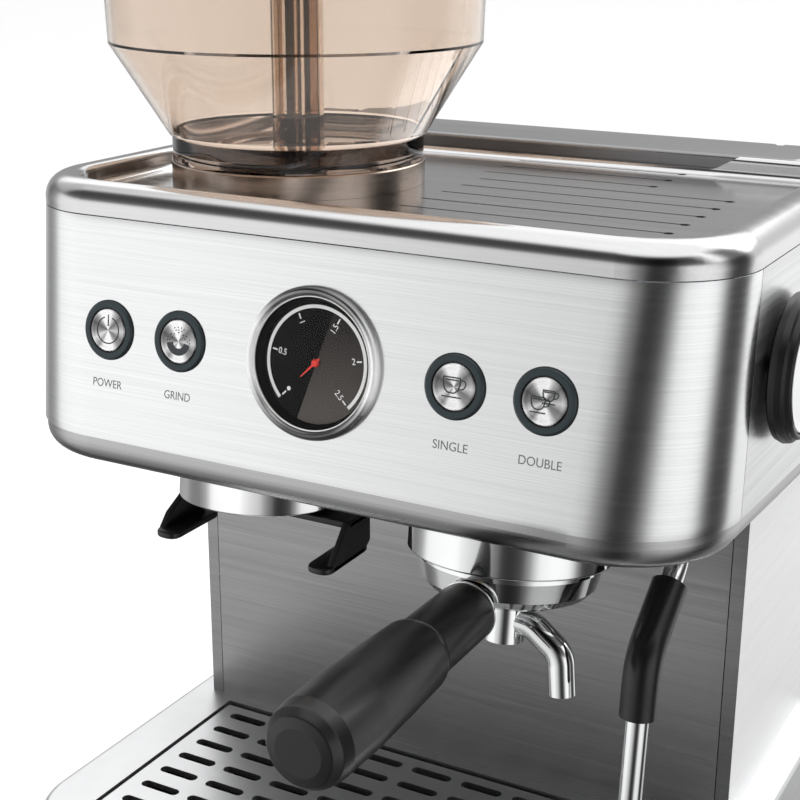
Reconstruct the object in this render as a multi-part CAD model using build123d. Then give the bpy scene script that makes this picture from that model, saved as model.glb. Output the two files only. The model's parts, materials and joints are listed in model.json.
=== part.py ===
from build123d import *
import math
import os

# A bean-to-cup espresso machine.  Millimetres, +Z up, +Y towards the back, counter at Z = 0.
# The head carries the panel, grinder and brew group; the column and base stand behind and below it.

# ---- head ----
HEAD_WIDTH = 300.0
HEAD_DEPTH = 244.0
SEAM_HEIGHT = 320.0          # seam between front panel and top cover, above the counter
PANEL_DROP = 86.6            # vertical height of the front panel
PANEL_LEAN = 8.95            # degrees the panel leans back from vertical
UNDERSIDE_RAKE = 2.8         # degrees the underside rises towards the front
TOP_CORNER = 38.4            # front corner radius in plan, at the top seam
BOTTOM_CORNER = 46.0         # the same at the lower seam
REAR_CORNER = 10.0
SHEET = 1.5                  # outer steel sheet
SEAM_GAP = 0.4               # visible joint between two outer sheets
WRAP_SEAM_TOP = 38.6         # where the front panel ends on the side faces
WRAP_SEAM_BOTTOM = 34.3

# ---- head bottom pan ----
PAN_DEPTH = 12.2
PAN_EDGE_RADIUS = 9.5
PAN_INSET = 0.8
PAN_WALL = 2.0

# ---- top cover and cup tray ----
COVER_RISE = 12.5
COVER_ROLL = 9.8
RIM_WIDTH = 15.5
TRAY_FRONT = 11.5
TRAY_REAR = 192.0
TRAY_CORNER = 27.0
TRAY_FLOOR = 4.0             # tray floor above the seam
TRAY_THICKNESS = 2.0
NOTCH_HALF_WIDTH = 82.0
NOTCH_SLOPE = 13.0           # width of the slope at each end of the notch
NOTCH_FLOOR = 6.3
GROOVE_WIDTH = 1.4
GROOVE_DEPTH = 0.8
GROOVE_PITCH = 17.95
GROOVE_FIRST_Y = 61.0
FRONT_GROOVES = 5
REAR_GROOVES = 3
FRONT_GROOVE_LEFT = -2.0
FRONT_GROOVE_RIGHT = 108.5
REAR_GROOVE_RIGHT = 70.0
REAR_GROOVE_LEFT = -8.0
DRAIN_RADIUS = 1.9

# ---- column and base ----
COLUMN_FRONT = 106.0         # face of the backsplash
COLUMN_HALF_WIDTH = HEAD_WIDTH / 2 - 15.9
COLUMN_REAR = 240.0
BACKSPLASH_HALF_WIDTH = COLUMN_HALF_WIDTH - 5.9
BASE_WIDTH = HEAD_WIDTH - 10.0
BASE_FRONT = -32.0
BASE_TOP = 56.0
BASE_BOTTOM = 9.0
BASE_CORNER = 34.0
FOOT_RADIUS = 13.0
FOOT_INSET = 34.0

# ---- drip tray ----
DRIP_BAY_HALF_WIDTH = BASE_WIDTH / 2 - 25.0
DRIP_CLEARANCE = 0.8
DRIP_WALL = 2.0
DRIP_REAR = 98.0
GRID_THICKNESS = 3.0
GRID_SLOTS = 17
GRID_SLOT_WIDTH = 5.0

# ---- water tank ----
TANK_HALF_WIDTH = COLUMN_HALF_WIDTH - 16.1
TANK_FRONT = 196.5
TANK_WALL = 2.0
TANK_CLEARANCE = 1.0
LID_THICKNESS = 7.5
TANK_TRAVEL = 200.0

# ---- controls on the front panel ----
CONTROL_LINE = 43.6          # distance of the control row below the top seam, along the panel
BUTTON_X = {"power": -94.3, "grind": -60.2, "single": 57.8, "double": 92.0}
BUTTON_RADIUS = 8.4
BUTTON_RING_RADIUS = BUTTON_RADIUS + 3.2
BUTTON_CLEARANCE = 0.25
BUTTON_PROUD = 1.4
BUTTON_RING_PROUD = 1.2
BUTTON_TRAVEL = 2.0
STEM_RADIUS = 2.5
GAUGE_RADIUS = 28.4
GAUGE_PROUD = 4.2
GAUGE_DEPTH = 16.0
DIAL_RADIUS = GAUGE_RADIUS - 4.1
NEEDLE_REACH = 8.5
NEEDLE_TAIL = 2.5
NEEDLE_HUB_RADIUS = 1.6

# ---- brew group and grinder outlet, raked like the underside but steeper ----
GROUP_X = 58.5
OUTLET_X = -58.8
SPOUT_AXIS_Y = 42.0          # where both axes meet their rim planes
RIM_DROP = 122.2             # rim planes below the top seam
GROUP_RAKE = 7.0
COLLAR_RADIUS = 40.7
COLLAR_WALL = 2.5
COLLAR_HEIGHT = 31.0
OUTLET_RADIUS = 33.7
OUTLET_WALL = 2.0
OUTLET_HEIGHT = 29.0
LEDGE_RADIUS = COLLAR_RADIUS - 7.1
LEDGE_HEIGHT = 3.8
EAR_RADIUS = LEDGE_RADIUS + 2.4
EAR_HEIGHT = 3.4
EAR_HALF_ANGLE = 18.0
UNLOCK_ANGLE = 45.0
RUNNING = 0.05               # radial clearance of shafts in their bores
FREE = 0.3                   # clearance between pieces that move past each other

# ---- portafilter ----
BOWL_RADIUS = COLLAR_RADIUS - 4.5
BOWL_NECK_RADIUS = LEDGE_RADIUS - 0.6
BOWL_DEPTH = 16.5
BOWL_RIM = 9.0
BASKET_RADIUS = BOWL_NECK_RADIUS - 3.8
BASKET_WALL = 0.8
BASKET_LIP_RADIUS = BOWL_NECK_RADIUS - 0.4
HANDLE_DROP = 133.0          # handle axis below the top seam
HANDLE_START_Y = SPOUT_AXIS_Y - BOWL_RADIUS - 1.3
HANDLE_STEP_Y = -35.5
HANDLE_END_Y = -112.0
HANDLE_NECK_RADIUS = 11.7
GRIP_RADIUS = 13.6
GRIP_SWELL = 15.6
HUB_RADIUS = 8.0
SPOUT_RADIUS = 5.4
SPOUT_WALL = 1.2
SPOUT_SPREAD = 24.5

# ---- portafilter fork under the grinder outlet ----
FORK_HALF_WIDTH = 44.0
FORK_RAIL_INNER = 32.5
FORK_PLATE = 3.2
FORK_SHIFT = 2.0             # the fork's middle stands this far to the right of the outlet's
FORK_TIP_Y = 22.0

# ---- hopper and grinder ----
HOPPER_X = -69.5
HOPPER_Y = 94.0
GRINDER_RADIUS = 40.0
HOPPER_RING_RADIUS = GRINDER_RADIUS + 14.0
HOPPER_RING_HEIGHT = 9.6
HOPPER_TOP_RADIUS = HOPPER_RING_RADIUS + 24.0
HOPPER_WALL = 2.2
HOPPER_FLARE_START = 24.8
HOPPER_FLARE_TOP = 62.0
HOPPER_TOP = 98.0
GRINDER_WALL = 3.0
BURR_RADIUS = GRINDER_RADIUS - 11.0
BURR_SHAFT_RADIUS = 4.0
MOTOR_RADIUS = 30.0

# ---- steam ----
WAND_X = HEAD_WIDTH / 2 - 32.0
WAND_Y = 68.0
WAND_RADIUS = 4.6
GRIP_SLEEVE_RADIUS = 7.0
KNOB_Y = 72.0
KNOB_DROP = 42.0
KNOB_RADIUS = 28.0
KNOB_STANDOFF = 1.5
KNOB_THICKNESS = 11.0
KNOB_SHAFT_RADIUS = 3.0

HALF = HEAD_WIDTH / 2
LEAN = math.radians(PANEL_LEAN)
RAKE = math.tan(math.radians(UNDERSIDE_RAKE))
PANEL_FOOT_Y = -PANEL_DROP * math.tan(LEAN)
PANEL_NORMAL = Vector(0, -math.cos(LEAN), math.sin(LEAN))
FACE = Plane(origin=(0, 0, SEAM_HEIGHT), x_dir=(1, 0, 0), z_dir=PANEL_NORMAL)
LOWER_SEAM_Z = SEAM_HEIGHT - PANEL_DROP + PANEL_FOOT_Y * RAKE      # lower seam plane at Y = 0
UNDER = Plane(origin=(0, 0, LOWER_SEAM_Z), x_dir=(1, 0, 0),
              z_dir=(0, math.sin(math.radians(UNDERSIDE_RAKE)), math.cos(math.radians(UNDERSIDE_RAKE))))
TILT = math.radians(GROUP_RAKE)
AXIS_UP = Vector(0, math.sin(TILT), math.cos(TILT))
RIM_Z = SEAM_HEIGHT - RIM_DROP
GROUP = Plane(origin=(GROUP_X, SPOUT_AXIS_Y, RIM_Z), x_dir=(1, 0, 0), z_dir=AXIS_UP)
OUTLET = Plane(origin=(OUTLET_X, SPOUT_AXIS_Y, RIM_Z), x_dir=(1, 0, 0), z_dir=AXIS_UP)
TRAY_Z = SEAM_HEIGHT + TRAY_FLOOR
HOPPER = Plane(origin=(HOPPER_X, HOPPER_Y, SEAM_HEIGHT))


def block(x0, x1, y0, y1, z0, z1):
    """Box between two corners."""
    return Pos((x0 + x1) / 2, (y0 + y1) / 2, (z0 + z1) / 2) * Box(x1 - x0, y1 - y0, z1 - z0)


def disc(plane, radius, low, high, x=0.0, y=0.0):
    """Cylinder about the plane's normal, between two heights along it."""
    return plane * Pos(x, y, (low + high) / 2) * Cylinder(radius, high - low)


def ring(plane, outer, inner, low, high, x=0.0, y=0.0):
    """Plain ring about the plane's normal."""
    return disc(plane, outer, low, high, x, y) - disc(plane, inner, low - 1, high + 1, x, y)


def turned(plane, points):
    """Solid of revolution about the plane's normal from (radius, height) points."""
    profile = make_face(Polyline(*[(r, 0, h) for r, h in points], close=True))
    return plane * revolve(profile, Axis.Z, 360)


def outline(half_width, front, rear, front_corner, rear_corner):
    """Plan outline with two front and two rear corner radii."""
    face = Pos(0, (front + rear) / 2) * Rectangle(2 * half_width, rear - front)
    middle = (front + rear) / 2
    face = fillet([v for v in face.vertices() if v.Y < middle], front_corner)
    return fillet([v for v in face.vertices() if v.Y > rear - 0.01], rear_corner)


def prism(sketch, low, high):
    """Sketch in the XY plane extruded between two heights."""
    return Pos(0, 0, low) * extrude(sketch, high - low)


def head_solid(inset):
    """The head between its two seams, every outer wall moved in by inset."""
    top = outline(HALF - inset, inset, HEAD_DEPTH - inset, TOP_CORNER - inset, REAR_CORNER - inset)
    foot = outline(HALF - inset, PANEL_FOOT_Y + inset, HEAD_DEPTH - inset,
                   BOTTOM_CORNER - inset, REAR_CORNER - inset)
    return loft([Pos(0, 0, SEAM_HEIGHT) * top, UNDER * foot], ruled=True)


def wrap_block(gap):
    """Everything in front of the seam where the front panel meets the side sheets."""
    fall = PANEL_DROP
    shift = (WRAP_SEAM_TOP - WRAP_SEAM_BOTTOM) / fall
    high, low = 60.0, -160.0
    profile = make_face(Polyline((0, -120, SEAM_HEIGHT + low),
                                 (0, WRAP_SEAM_TOP + shift * low + gap, SEAM_HEIGHT + low),
                                 (0, WRAP_SEAM_TOP + shift * high + gap, SEAM_HEIGHT + high),
                                 (0, -120, SEAM_HEIGHT + high), close=True))
    return extrude(profile, HEAD_WIDTH, both=True, dir=(1, 0, 0))


def under_plane_z(y, depth=0.0):
    """Height of a plane parallel to the head's underside seam, depth below it."""
    return LOWER_SEAM_Z - y * RAKE - depth / math.cos(math.radians(UNDERSIDE_RAKE))


PARTS = {}

# ================= head shell =================
TANK_OPENING = TANK_HALF_WIDTH + TANK_CLEARANCE + 2.0
TANK_BAY_FRONT = TANK_FRONT - TANK_CLEARANCE
tank_slot = block(-TANK_OPENING, TANK_OPENING, TANK_BAY_FRONT, HEAD_DEPTH + 50, 0, SEAM_HEIGHT + 60)
head_tube = head_solid(0) - head_solid(SHEET)
front_region = wrap_block(0)

panel = head_tube & front_region
for x in BUTTON_X.values():
    panel -= disc(FACE, BUTTON_RADIUS + BUTTON_CLEARANCE + 0.6, -12, 8, x, -CONTROL_LINE)
panel -= disc(FACE, DIAL_RADIUS + 1.7, -12, 8, 0, -CONTROL_LINE)
PARTS["head_front_panel"] = panel

sides = head_tube - wrap_block(SEAM_GAP) - tank_slot
knob_axis = Plane(origin=(HALF, KNOB_Y, SEAM_HEIGHT - KNOB_DROP), x_dir=(0, 1, 0), z_dir=(1, 0, 0))
screw_spots = [(side * (TANK_OPENING + HALF) / 2, SEAM_HEIGHT - drop)
               for side in (-1, 1) for drop in (22.0, 78.0)]
for x, z in screw_spots:
    sides -= disc(Plane(origin=(x, HEAD_DEPTH, z), x_dir=(1, 0, 0), z_dir=(0, 1, 0)), 1.7, -6, 2)
sides -= disc(knob_axis, KNOB_SHAFT_RADIUS + 1.0, -6, 4)
for solid in sides.solids():
    name = "head_side_left" if solid.center().X < 0 else "head_side_right"
    PARTS[name] = solid

pan_outer = outline(HALF - PAN_INSET, PANEL_FOOT_Y + PAN_INSET, HEAD_DEPTH - PAN_INSET,
                    BOTTOM_CORNER - PAN_INSET, REAR_CORNER - PAN_INSET)
pan = extrude(pan_outer, -PAN_DEPTH)
pan = fillet(pan.faces().sort_by(Axis.Z)[0].edges(), PAN_EDGE_RADIUS - 0.5)
inset = PAN_INSET + PAN_WALL
pan_inner = outline(HALF - inset, PANEL_FOOT_Y + inset, HEAD_DEPTH - inset,
                    BOTTOM_CORNER - inset, REAR_CORNER - inset + 1.0)
pocket = extrude(pan_inner, -(PAN_DEPTH - PAN_WALL))
pocket = fillet(pocket.faces().sort_by(Axis.Z)[0].edges(), PAN_EDGE_RADIUS - PAN_WALL - 0.5)
pan = UNDER * (pan - pocket)
pan -= disc(GROUP, COLLAR_RADIUS + FREE, -5, 60)
pan -= disc(OUTLET, OUTLET_RADIUS + FREE, -5, 60)
WAND_POST = Plane(origin=(WAND_X, WAND_Y, 0))
NUT_RADIUS = 10.0
pan -= disc(WAND_POST, NUT_RADIUS + FREE, 150, SEAM_HEIGHT - 40)
pan -= tank_slot
COLUMN_DUCT_HALF = 112.0
pan -= block(-COLUMN_DUCT_HALF, COLUMN_DUCT_HALF, COLUMN_FRONT + 14, TANK_BAY_FRONT - 12, 150, 300)
PARTS["head_bottom_pan"] = pan

# ================= top cover =================
cover = prism(outline(HALF, 0, HEAD_DEPTH, TOP_CORNER, REAR_CORNER),
              SEAM_HEIGHT + SEAM_GAP, SEAM_HEIGHT + COVER_RISE)
cover = fillet(cover.faces().sort_by(Axis.Z)[-1].edges(), COVER_ROLL)
tray_edge = outline(HALF - RIM_WIDTH, TRAY_FRONT, TRAY_REAR, TRAY_CORNER, TRAY_CORNER / 2)
tray = prism(tray_edge, TRAY_Z, SEAM_HEIGHT + COVER_RISE + 5)
tray = fillet(tray.faces().sort_by(Axis.Z)[0].edges(), 3.0)
cover -= tray
cover = fillet([e for e in cover.edges() if e.center().Z > SEAM_HEIGHT + COVER_RISE - 0.05
                and abs(e.center().X) < HALF - RIM_WIDTH + 1 and TRAY_FRONT - 1 < e.center().Y
                < TRAY_REAR + 1], 2.6)
under_floor = outline(HALF - 4, 4, HEAD_DEPTH - 4, TOP_CORNER - 4, REAR_CORNER - 4)
cover -= prism(under_floor, SEAM_HEIGHT - 1, TRAY_Z - TRAY_THICKNESS)
rim_core = prism(under_floor, SEAM_HEIGHT, SEAM_HEIGHT + 8.5)
rim_core -= prism(outline(HALF - RIM_WIDTH + 2, TRAY_FRONT - 2, HEAD_DEPTH, TRAY_CORNER + 2, 2.0),
                  SEAM_HEIGHT - 1, SEAM_HEIGHT + 10)
cover -= rim_core
cover -= block(-TANK_OPENING, TANK_OPENING, TANK_BAY_FRONT, HEAD_DEPTH + 5,
               SEAM_HEIGHT - 5, SEAM_HEIGHT + 60)
notch_top = COVER_RISE + 1.0
notch = make_face(Polyline((-NOTCH_HALF_WIDTH - NOTCH_SLOPE, notch_top), (-NOTCH_HALF_WIDTH, NOTCH_FLOOR),
                           (NOTCH_HALF_WIDTH, NOTCH_FLOOR), (NOTCH_HALF_WIDTH + NOTCH_SLOPE, notch_top),
                           (NOTCH_HALF_WIDTH + NOTCH_SLOPE + 20, notch_top), (NOTCH_HALF_WIDTH + 20, 30.0),
                           (-NOTCH_HALF_WIDTH - 20, 30.0), (-NOTCH_HALF_WIDTH - NOTCH_SLOPE - 20, notch_top),
                           close=True))
notch = fillet([v for v in notch.vertices() if v.Y < notch_top + 0.5 and abs(v.X) < NOTCH_HALF_WIDTH
                + NOTCH_SLOPE + 1], 9.0)
NOTCH_PLANE = Plane(origin=(0, TRAY_REAR + 8, SEAM_HEIGHT), x_dir=(1, 0, 0), z_dir=(0, -1, 0))
cover -= NOTCH_PLANE * extrude(notch, 12)
cover -= disc(HOPPER, GRINDER_RADIUS + 0.5, -5, 12)


def groove(x0, x1, y):
    """Shallow rain groove across the tray with a drain hole at its right end."""
    cut = block(x0, x1, y - GROOVE_WIDTH / 2, y + GROOVE_WIDTH / 2, TRAY_Z - GROOVE_DEPTH, TRAY_Z + 4)
    return cut + Pos(x1, y, TRAY_Z) * Cylinder(DRAIN_RADIUS, 12)


for index in range(FRONT_GROOVES):
    cover -= groove(FRONT_GROOVE_LEFT, FRONT_GROOVE_RIGHT, GROOVE_FIRST_Y + index * GROOVE_PITCH)
for index in range(REAR_GROOVES):
    y = GROOVE_FIRST_Y + (FRONT_GROOVES + index) * GROOVE_PITCH
    cover -= groove(REAR_GROOVE_LEFT, REAR_GROOVE_RIGHT, y)
PARTS["top_cover"] = cover

# ================= column =================
below_head = UNDER * Pos(0, 100, 200 - PAN_DEPTH - 0.2) * Box(500, 700, 400)
FLANGE = COLUMN_HALF_WIDTH - BACKSPLASH_HALF_WIDTH


def side_panel(side):
    """Bent side sheet of the column: outer skin, front flange and a rear return."""
    outer = side * COLUMN_HALF_WIDTH
    x0, x1 = sorted((outer, outer - side * SHEET))
    f0, f1 = sorted((outer, outer - side * FLANGE))
    skin = block(x0, x1, COLUMN_FRONT, COLUMN_REAR, BASE_TOP, SEAM_HEIGHT)
    front = block(f0, f1, COLUMN_FRONT, COLUMN_FRONT + SHEET, BASE_TOP, SEAM_HEIGHT)
    r0, r1 = sorted((outer, side * (TANK_OPENING + 1)))
    rear = block(r0, r1, COLUMN_REAR - SHEET, COLUMN_REAR, BASE_TOP, SEAM_HEIGHT)
    return (skin + front + rear) - below_head


PARTS["side_panel_left"] = side_panel(-1)
PARTS["side_panel_right"] = side_panel(1)
PARTS["backsplash_panel"] = block(-BACKSPLASH_HALF_WIDTH + 0.4, BACKSPLASH_HALF_WIDTH - 0.4,
                                  COLUMN_FRONT, COLUMN_FRONT + SHEET, BASE_TOP, SEAM_HEIGHT) - below_head
BAY_WALL_Y = TANK_BAY_FRONT - 2.5
PARTS["tank_bay_wall"] = block(-COLUMN_HALF_WIDTH + SHEET, COLUMN_HALF_WIDTH - SHEET, BAY_WALL_Y,
                               BAY_WALL_Y + SHEET, BASE_TOP, SEAM_HEIGHT) - below_head

# ================= base =================
base_plan = outline(BASE_WIDTH / 2, BASE_FRONT, HEAD_DEPTH, BASE_CORNER, REAR_CORNER)
base = prism(base_plan, BASE_BOTTOM, BASE_TOP)
base = fillet(base.faces().sort_by(Axis.Z)[-1].edges(), 3.0)
base -= prism(outline(BASE_WIDTH / 2 - 2, BASE_FRONT + 2, HEAD_DEPTH - 2, BASE_CORNER - 2,
                      REAR_CORNER - 2), BASE_BOTTOM - 1, BASE_TOP - 2)
BAY_FLOOR = BASE_BOTTOM + 3.0
base -= block(-DRIP_BAY_HALF_WIDTH, DRIP_BAY_HALF_WIDTH, BASE_FRONT - 5, DRIP_REAR + 2,
              BAY_FLOOR, BASE_TOP + 5)
INLET = Plane(origin=(-96.0, HEAD_DEPTH, 32.0), x_dir=(-1, 0, 0), z_dir=(0, 1, 0))
INLET_WIDTH, INLET_HEIGHT = 31.0, 24.0
base -= INLET * Box(INLET_WIDTH + 0.4, INLET_HEIGHT + 0.4, 12)
SEAT_X = 60.0
TANK_MID_Y = (TANK_FRONT + HEAD_DEPTH - 1.0) / 2
base -= Pos(SEAT_X, TANK_MID_Y, BASE_TOP) * Cylinder(13.3, 10)
base -= block(-40, 40, 130, 180, BASE_TOP - 4, BASE_TOP + 4)
for side in (-1, 1):
    base += block(side * DRIP_BAY_HALF_WIDTH - (0 if side > 0 else SHEET),
                  side * DRIP_BAY_HALF_WIDTH + (SHEET if side > 0 else 0),
                  BASE_FRONT + 2, DRIP_REAR + 2 + SHEET, BASE_BOTTOM + 3, BASE_TOP - 1.5)
base += block(-DRIP_BAY_HALF_WIDTH, DRIP_BAY_HALF_WIDTH, DRIP_REAR + 2, DRIP_REAR + 2 + SHEET,
              BASE_BOTTOM + 3, BASE_TOP - 1.5)
PARTS["base_shell"] = base

floor_plan = outline(BASE_WIDTH / 2 - 2.3, BASE_FRONT + 2.3, HEAD_DEPTH - 2.3, BASE_CORNER - 2.3,
                     REAR_CORNER - 2.3)
PARTS["base_floor"] = prism(floor_plan, BASE_BOTTOM + 0.5, BASE_BOTTOM + 2.7)

foot_spots = [(side * (BASE_WIDTH / 2 - FOOT_INSET), y)
              for side in (-1, 1) for y in (BASE_FRONT + FOOT_INSET, HEAD_DEPTH - FOOT_INSET)]
foot = turned(Plane.XY, [(0, 0), (FOOT_RADIUS - 1.5, 0), (FOOT_RADIUS, 1.5),
                         (FOOT_RADIUS - 1.5, BASE_BOTTOM + 0.5), (0, BASE_BOTTOM + 0.5)])
PARTS["feet"] = Compound([Pos(x, y, 0) * foot for x, y in foot_spots])

# ================= drip tray =================
TRAY_HALF = DRIP_BAY_HALF_WIDTH - DRIP_CLEARANCE
TRAY_LOW = BAY_FLOOR + 0.4
TRAY_HIGH = BASE_TOP - 4.0
bin_solid = block(-TRAY_HALF, TRAY_HALF, BASE_FRONT + 1.0, DRIP_REAR, TRAY_LOW, TRAY_HIGH)
bin_solid = fillet(bin_solid.edges().filter_by(Axis.Z).sort_by(Axis.Y)[-2:], 8.0)
bin_solid -= block(-TRAY_HALF + DRIP_WALL, TRAY_HALF - DRIP_WALL, BASE_FRONT + 1.0 + DRIP_WALL,
                   DRIP_REAR - DRIP_WALL, TRAY_LOW + DRIP_WALL, TRAY_HIGH + 5)
PARTS["drip_tray"] = bin_solid
tray_face = block(-TRAY_HALF - 0.2, TRAY_HALF + 0.2, BASE_FRONT - 2.5, BASE_FRONT + 0.9,
                  BAY_FLOOR + 0.4, BASE_TOP - 0.5)
tray_face = fillet(tray_face.edges().filter_by(Axis.X).sort_by(Axis.Y)[:2], 2.2)
tray_face -= Pos(0, BASE_FRONT - 2.5, BAY_FLOOR + 0.4) * Rot(0, 90, 0) * Cylinder(4.0, 70)
PARTS["drip_tray_front"] = tray_face
grid_half = TRAY_HALF - 0.5
GRID_FRONT = BASE_FRONT + 1.4
GRID_REAR = DRIP_REAR - 0.5
grid = block(-grid_half, grid_half, GRID_FRONT, GRID_REAR, TRAY_HIGH, TRAY_HIGH + GRID_THICKNESS)
slot_pitch = (GRID_REAR - GRID_FRONT - 16) / (GRID_SLOTS // 2)
for column in range(-4, 5):
    for row in range(GRID_SLOTS // 2 + 1):
        offset = slot_pitch * row
        cutter = Pos(column * 25.5, GRID_FRONT + 8 + offset, TRAY_HIGH) * extrude(
            SlotOverall(20.0, GRID_SLOT_WIDTH), 12, both=True)
        grid -= cutter
PARTS["drip_grid"] = grid

# ================= water tank =================
TANK_REAR = HEAD_DEPTH - 0.5
TANK_BOTTOM = BASE_TOP + 0.4
LID_BOTTOM = SEAM_HEIGHT + COVER_RISE - LID_THICKNESS
tank_plan = outline(TANK_HALF_WIDTH, TANK_FRONT, TANK_REAR, 7.0, 9.0)
tank = prism(tank_plan, TANK_BOTTOM, LID_BOTTOM - 0.3)
tank = fillet(tank.faces().sort_by(Axis.Z)[0].edges(), 4.0)
tank -= prism(outline(TANK_HALF_WIDTH - TANK_WALL, TANK_FRONT + TANK_WALL, TANK_REAR - TANK_WALL,
                      5.0, 7.0), TANK_BOTTOM + TANK_WALL + 1, SEAM_HEIGHT + 20)
tank -= Pos(SEAT_X, TANK_MID_Y, TANK_BOTTOM) * Cylinder(8.0, 20)
TANK_SEAT = Plane(origin=(SEAT_X, TANK_MID_Y, TANK_BOTTOM))
valve = turned(TANK_SEAT, [(0, 0.2), (7.9, 0.2), (7.9, TANK_WALL + 1), (11, TANK_WALL + 1),
                           (11, TANK_WALL + 4), (5, TANK_WALL + 6), (0, TANK_WALL + 12)])
PARTS["tank_valve"] = valve
PARTS["tank_socket"] = ring(TANK_SEAT, 13.0, 9.0, -16, -0.4) + disc(TANK_SEAT, 13.0, -18, -15.9)
LID_ROUND = LID_THICKNESS / 2
LID_PIN = Plane(origin=(0, TANK_REAR - LID_ROUND, LID_BOTTOM + LID_ROUND),
                x_dir=(0, 1, 0), z_dir=(1, 0, 0))
lid_plan = outline(TANK_HALF_WIDTH + 0.4, TANK_FRONT - 0.2, TANK_REAR, 5.0, 2.0)
lid = prism(lid_plan, LID_BOTTOM, SEAM_HEIGHT + COVER_RISE)
front_edges = [e for e in lid.faces().sort_by(Axis.Z)[-1].edges() if e.center().Y < TANK_REAR - 3.0]
lid = fillet(front_edges, 2.0)
lid -= prism(outline(TANK_HALF_WIDTH - 6, TANK_FRONT + 6, TANK_REAR - 12, 4.0, 4.0),
             LID_BOTTOM - 1, LID_BOTTOM + LID_THICKNESS - 2.2)
rear_round = disc(LID_PIN, LID_ROUND, -TANK_HALF_WIDTH - 1, TANK_HALF_WIDTH + 1)
lid -= block(-200, 200, LID_PIN.origin.Y, TANK_REAR + 5, 0, 500) - rear_round
PIN_RADIUS = 1.4
EAR_WIDTH = 4.0
for side in (-1, 1):
    ear_x = side * (TANK_HALF_WIDTH - 20)
    lid -= block(ear_x - EAR_WIDTH / 2 - FREE, ear_x + EAR_WIDTH / 2 + FREE, LID_PIN.origin.Y - 3.2,
                 TANK_REAR + 5, LID_BOTTOM - 1, SEAM_HEIGHT + 50)
    lid += disc(LID_PIN, PIN_RADIUS, ear_x - EAR_WIDTH / 2 - FREE, ear_x + EAR_WIDTH / 2 + FREE)
    ear = disc(LID_PIN, 2.6, ear_x - EAR_WIDTH / 2, ear_x + EAR_WIDTH / 2)
    ear += block(ear_x - EAR_WIDTH / 2, ear_x + EAR_WIDTH / 2, LID_PIN.origin.Y - 2.6,
                 LID_PIN.origin.Y + 2.6, LID_BOTTOM - 8, LID_PIN.origin.Z)
    tank += ear - disc(LID_PIN, PIN_RADIUS + RUNNING, -200, 200)
PARTS["water_tank"] = tank
PARTS["tank_lid"] = lid

# ================= front controls =================
ring_profile = [(BUTTON_RADIUS + BUTTON_CLEARANCE, -3.0), (BUTTON_RADIUS + BUTTON_CLEARANCE + 0.5, -3.0),
                (BUTTON_RADIUS + BUTTON_CLEARANCE + 0.5, 0.05), (BUTTON_RING_RADIUS, 0.05),
                (BUTTON_RING_RADIUS, 0.7), (BUTTON_RING_RADIUS - 0.7, BUTTON_RING_PROUD),
                (BUTTON_RADIUS + BUTTON_CLEARANCE + 0.6, BUTTON_RING_PROUD),
                (BUTTON_RADIUS + BUTTON_CLEARANCE, 0.8)]
BOARD_DEPTH = 16.0
SWITCH_HEIGHT = 5.0
rings = []
for name, x in BUTTON_X.items():
    spot = FACE * Pos(x, -CONTROL_LINE, 0)
    plane = Plane(spot)
    rings.append(turned(plane, ring_profile))
    cap = turned(plane, [(0, -4.0), (BUTTON_RADIUS - 1.2, -4.0), (BUTTON_RADIUS, -3.0),
                         (BUTTON_RADIUS, BUTTON_PROUD - 0.5), (BUTTON_RADIUS - 0.5, BUTTON_PROUD),
                         (0, BUTTON_PROUD)])
    stem = disc(plane, STEM_RADIUS, -(BOARD_DEPTH - SWITCH_HEIGHT) + BUTTON_TRAVEL + FREE, -3.9)
    PARTS[name + "_button"] = cap + stem
PARTS["button_rings"] = Compound(rings)
board = FACE * Pos(0, -CONTROL_LINE, -BOARD_DEPTH) * Box(222, 34, 1.6)
board -= disc(FACE, DIAL_RADIUS + 3, -40, 10, 0, -CONTROL_LINE)
for x in BUTTON_X.values():
    switch_middle = -BOARD_DEPTH + 0.4 + SWITCH_HEIGHT / 2
    board += FACE * Pos(x, -CONTROL_LINE, switch_middle) * Box(9, 9, SWITCH_HEIGHT - 0.8)

GAUGE = Plane(FACE * Pos(0, -CONTROL_LINE, 0))
bezel_profile = [(DIAL_RADIUS + 0.4, -3.0), (DIAL_RADIUS + 1.5, -3.0), (DIAL_RADIUS + 1.5, 0.05),
                 (GAUGE_RADIUS, 0.05), (GAUGE_RADIUS, 1.8), (GAUGE_RADIUS - 0.8, 3.3),
                 (GAUGE_RADIUS - 2.2, GAUGE_PROUD), (DIAL_RADIUS + 1.2, 3.6), (DIAL_RADIUS + 0.4, 2.4)]
PARTS["gauge_bezel"] = turned(GAUGE, bezel_profile)
case = turned(GAUGE, [(0, -GAUGE_DEPTH), (DIAL_RADIUS, -GAUGE_DEPTH), (DIAL_RADIUS, -1.0),
                      (DIAL_RADIUS - 1.0, -1.0), (DIAL_RADIUS - 1.0, -2.0), (0, -2.0)])
NEEDLE_SHAFT_RADIUS = 1.0
PARTS["gauge_dial"] = case - disc(GAUGE, NEEDLE_SHAFT_RADIUS + RUNNING, -10, 2)
PARTS["gauge_glass"] = disc(GAUGE, DIAL_RADIUS + 0.2, 1.0, 2.2)
ZERO_ANGLE = 225.0
needle = disc(GAUGE, NEEDLE_HUB_RADIUS, -1.6, -0.2) + disc(GAUGE, NEEDLE_SHAFT_RADIUS, -9, -1.5)
pointer = Pos((NEEDLE_REACH - NEEDLE_TAIL) / 2, 0, -0.9) * Box(NEEDLE_REACH + NEEDLE_TAIL, 0.9, 0.6)
needle += GAUGE * (Rot(0, 0, ZERO_ANGLE) * pointer)
PARTS["gauge_needle"] = needle

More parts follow.
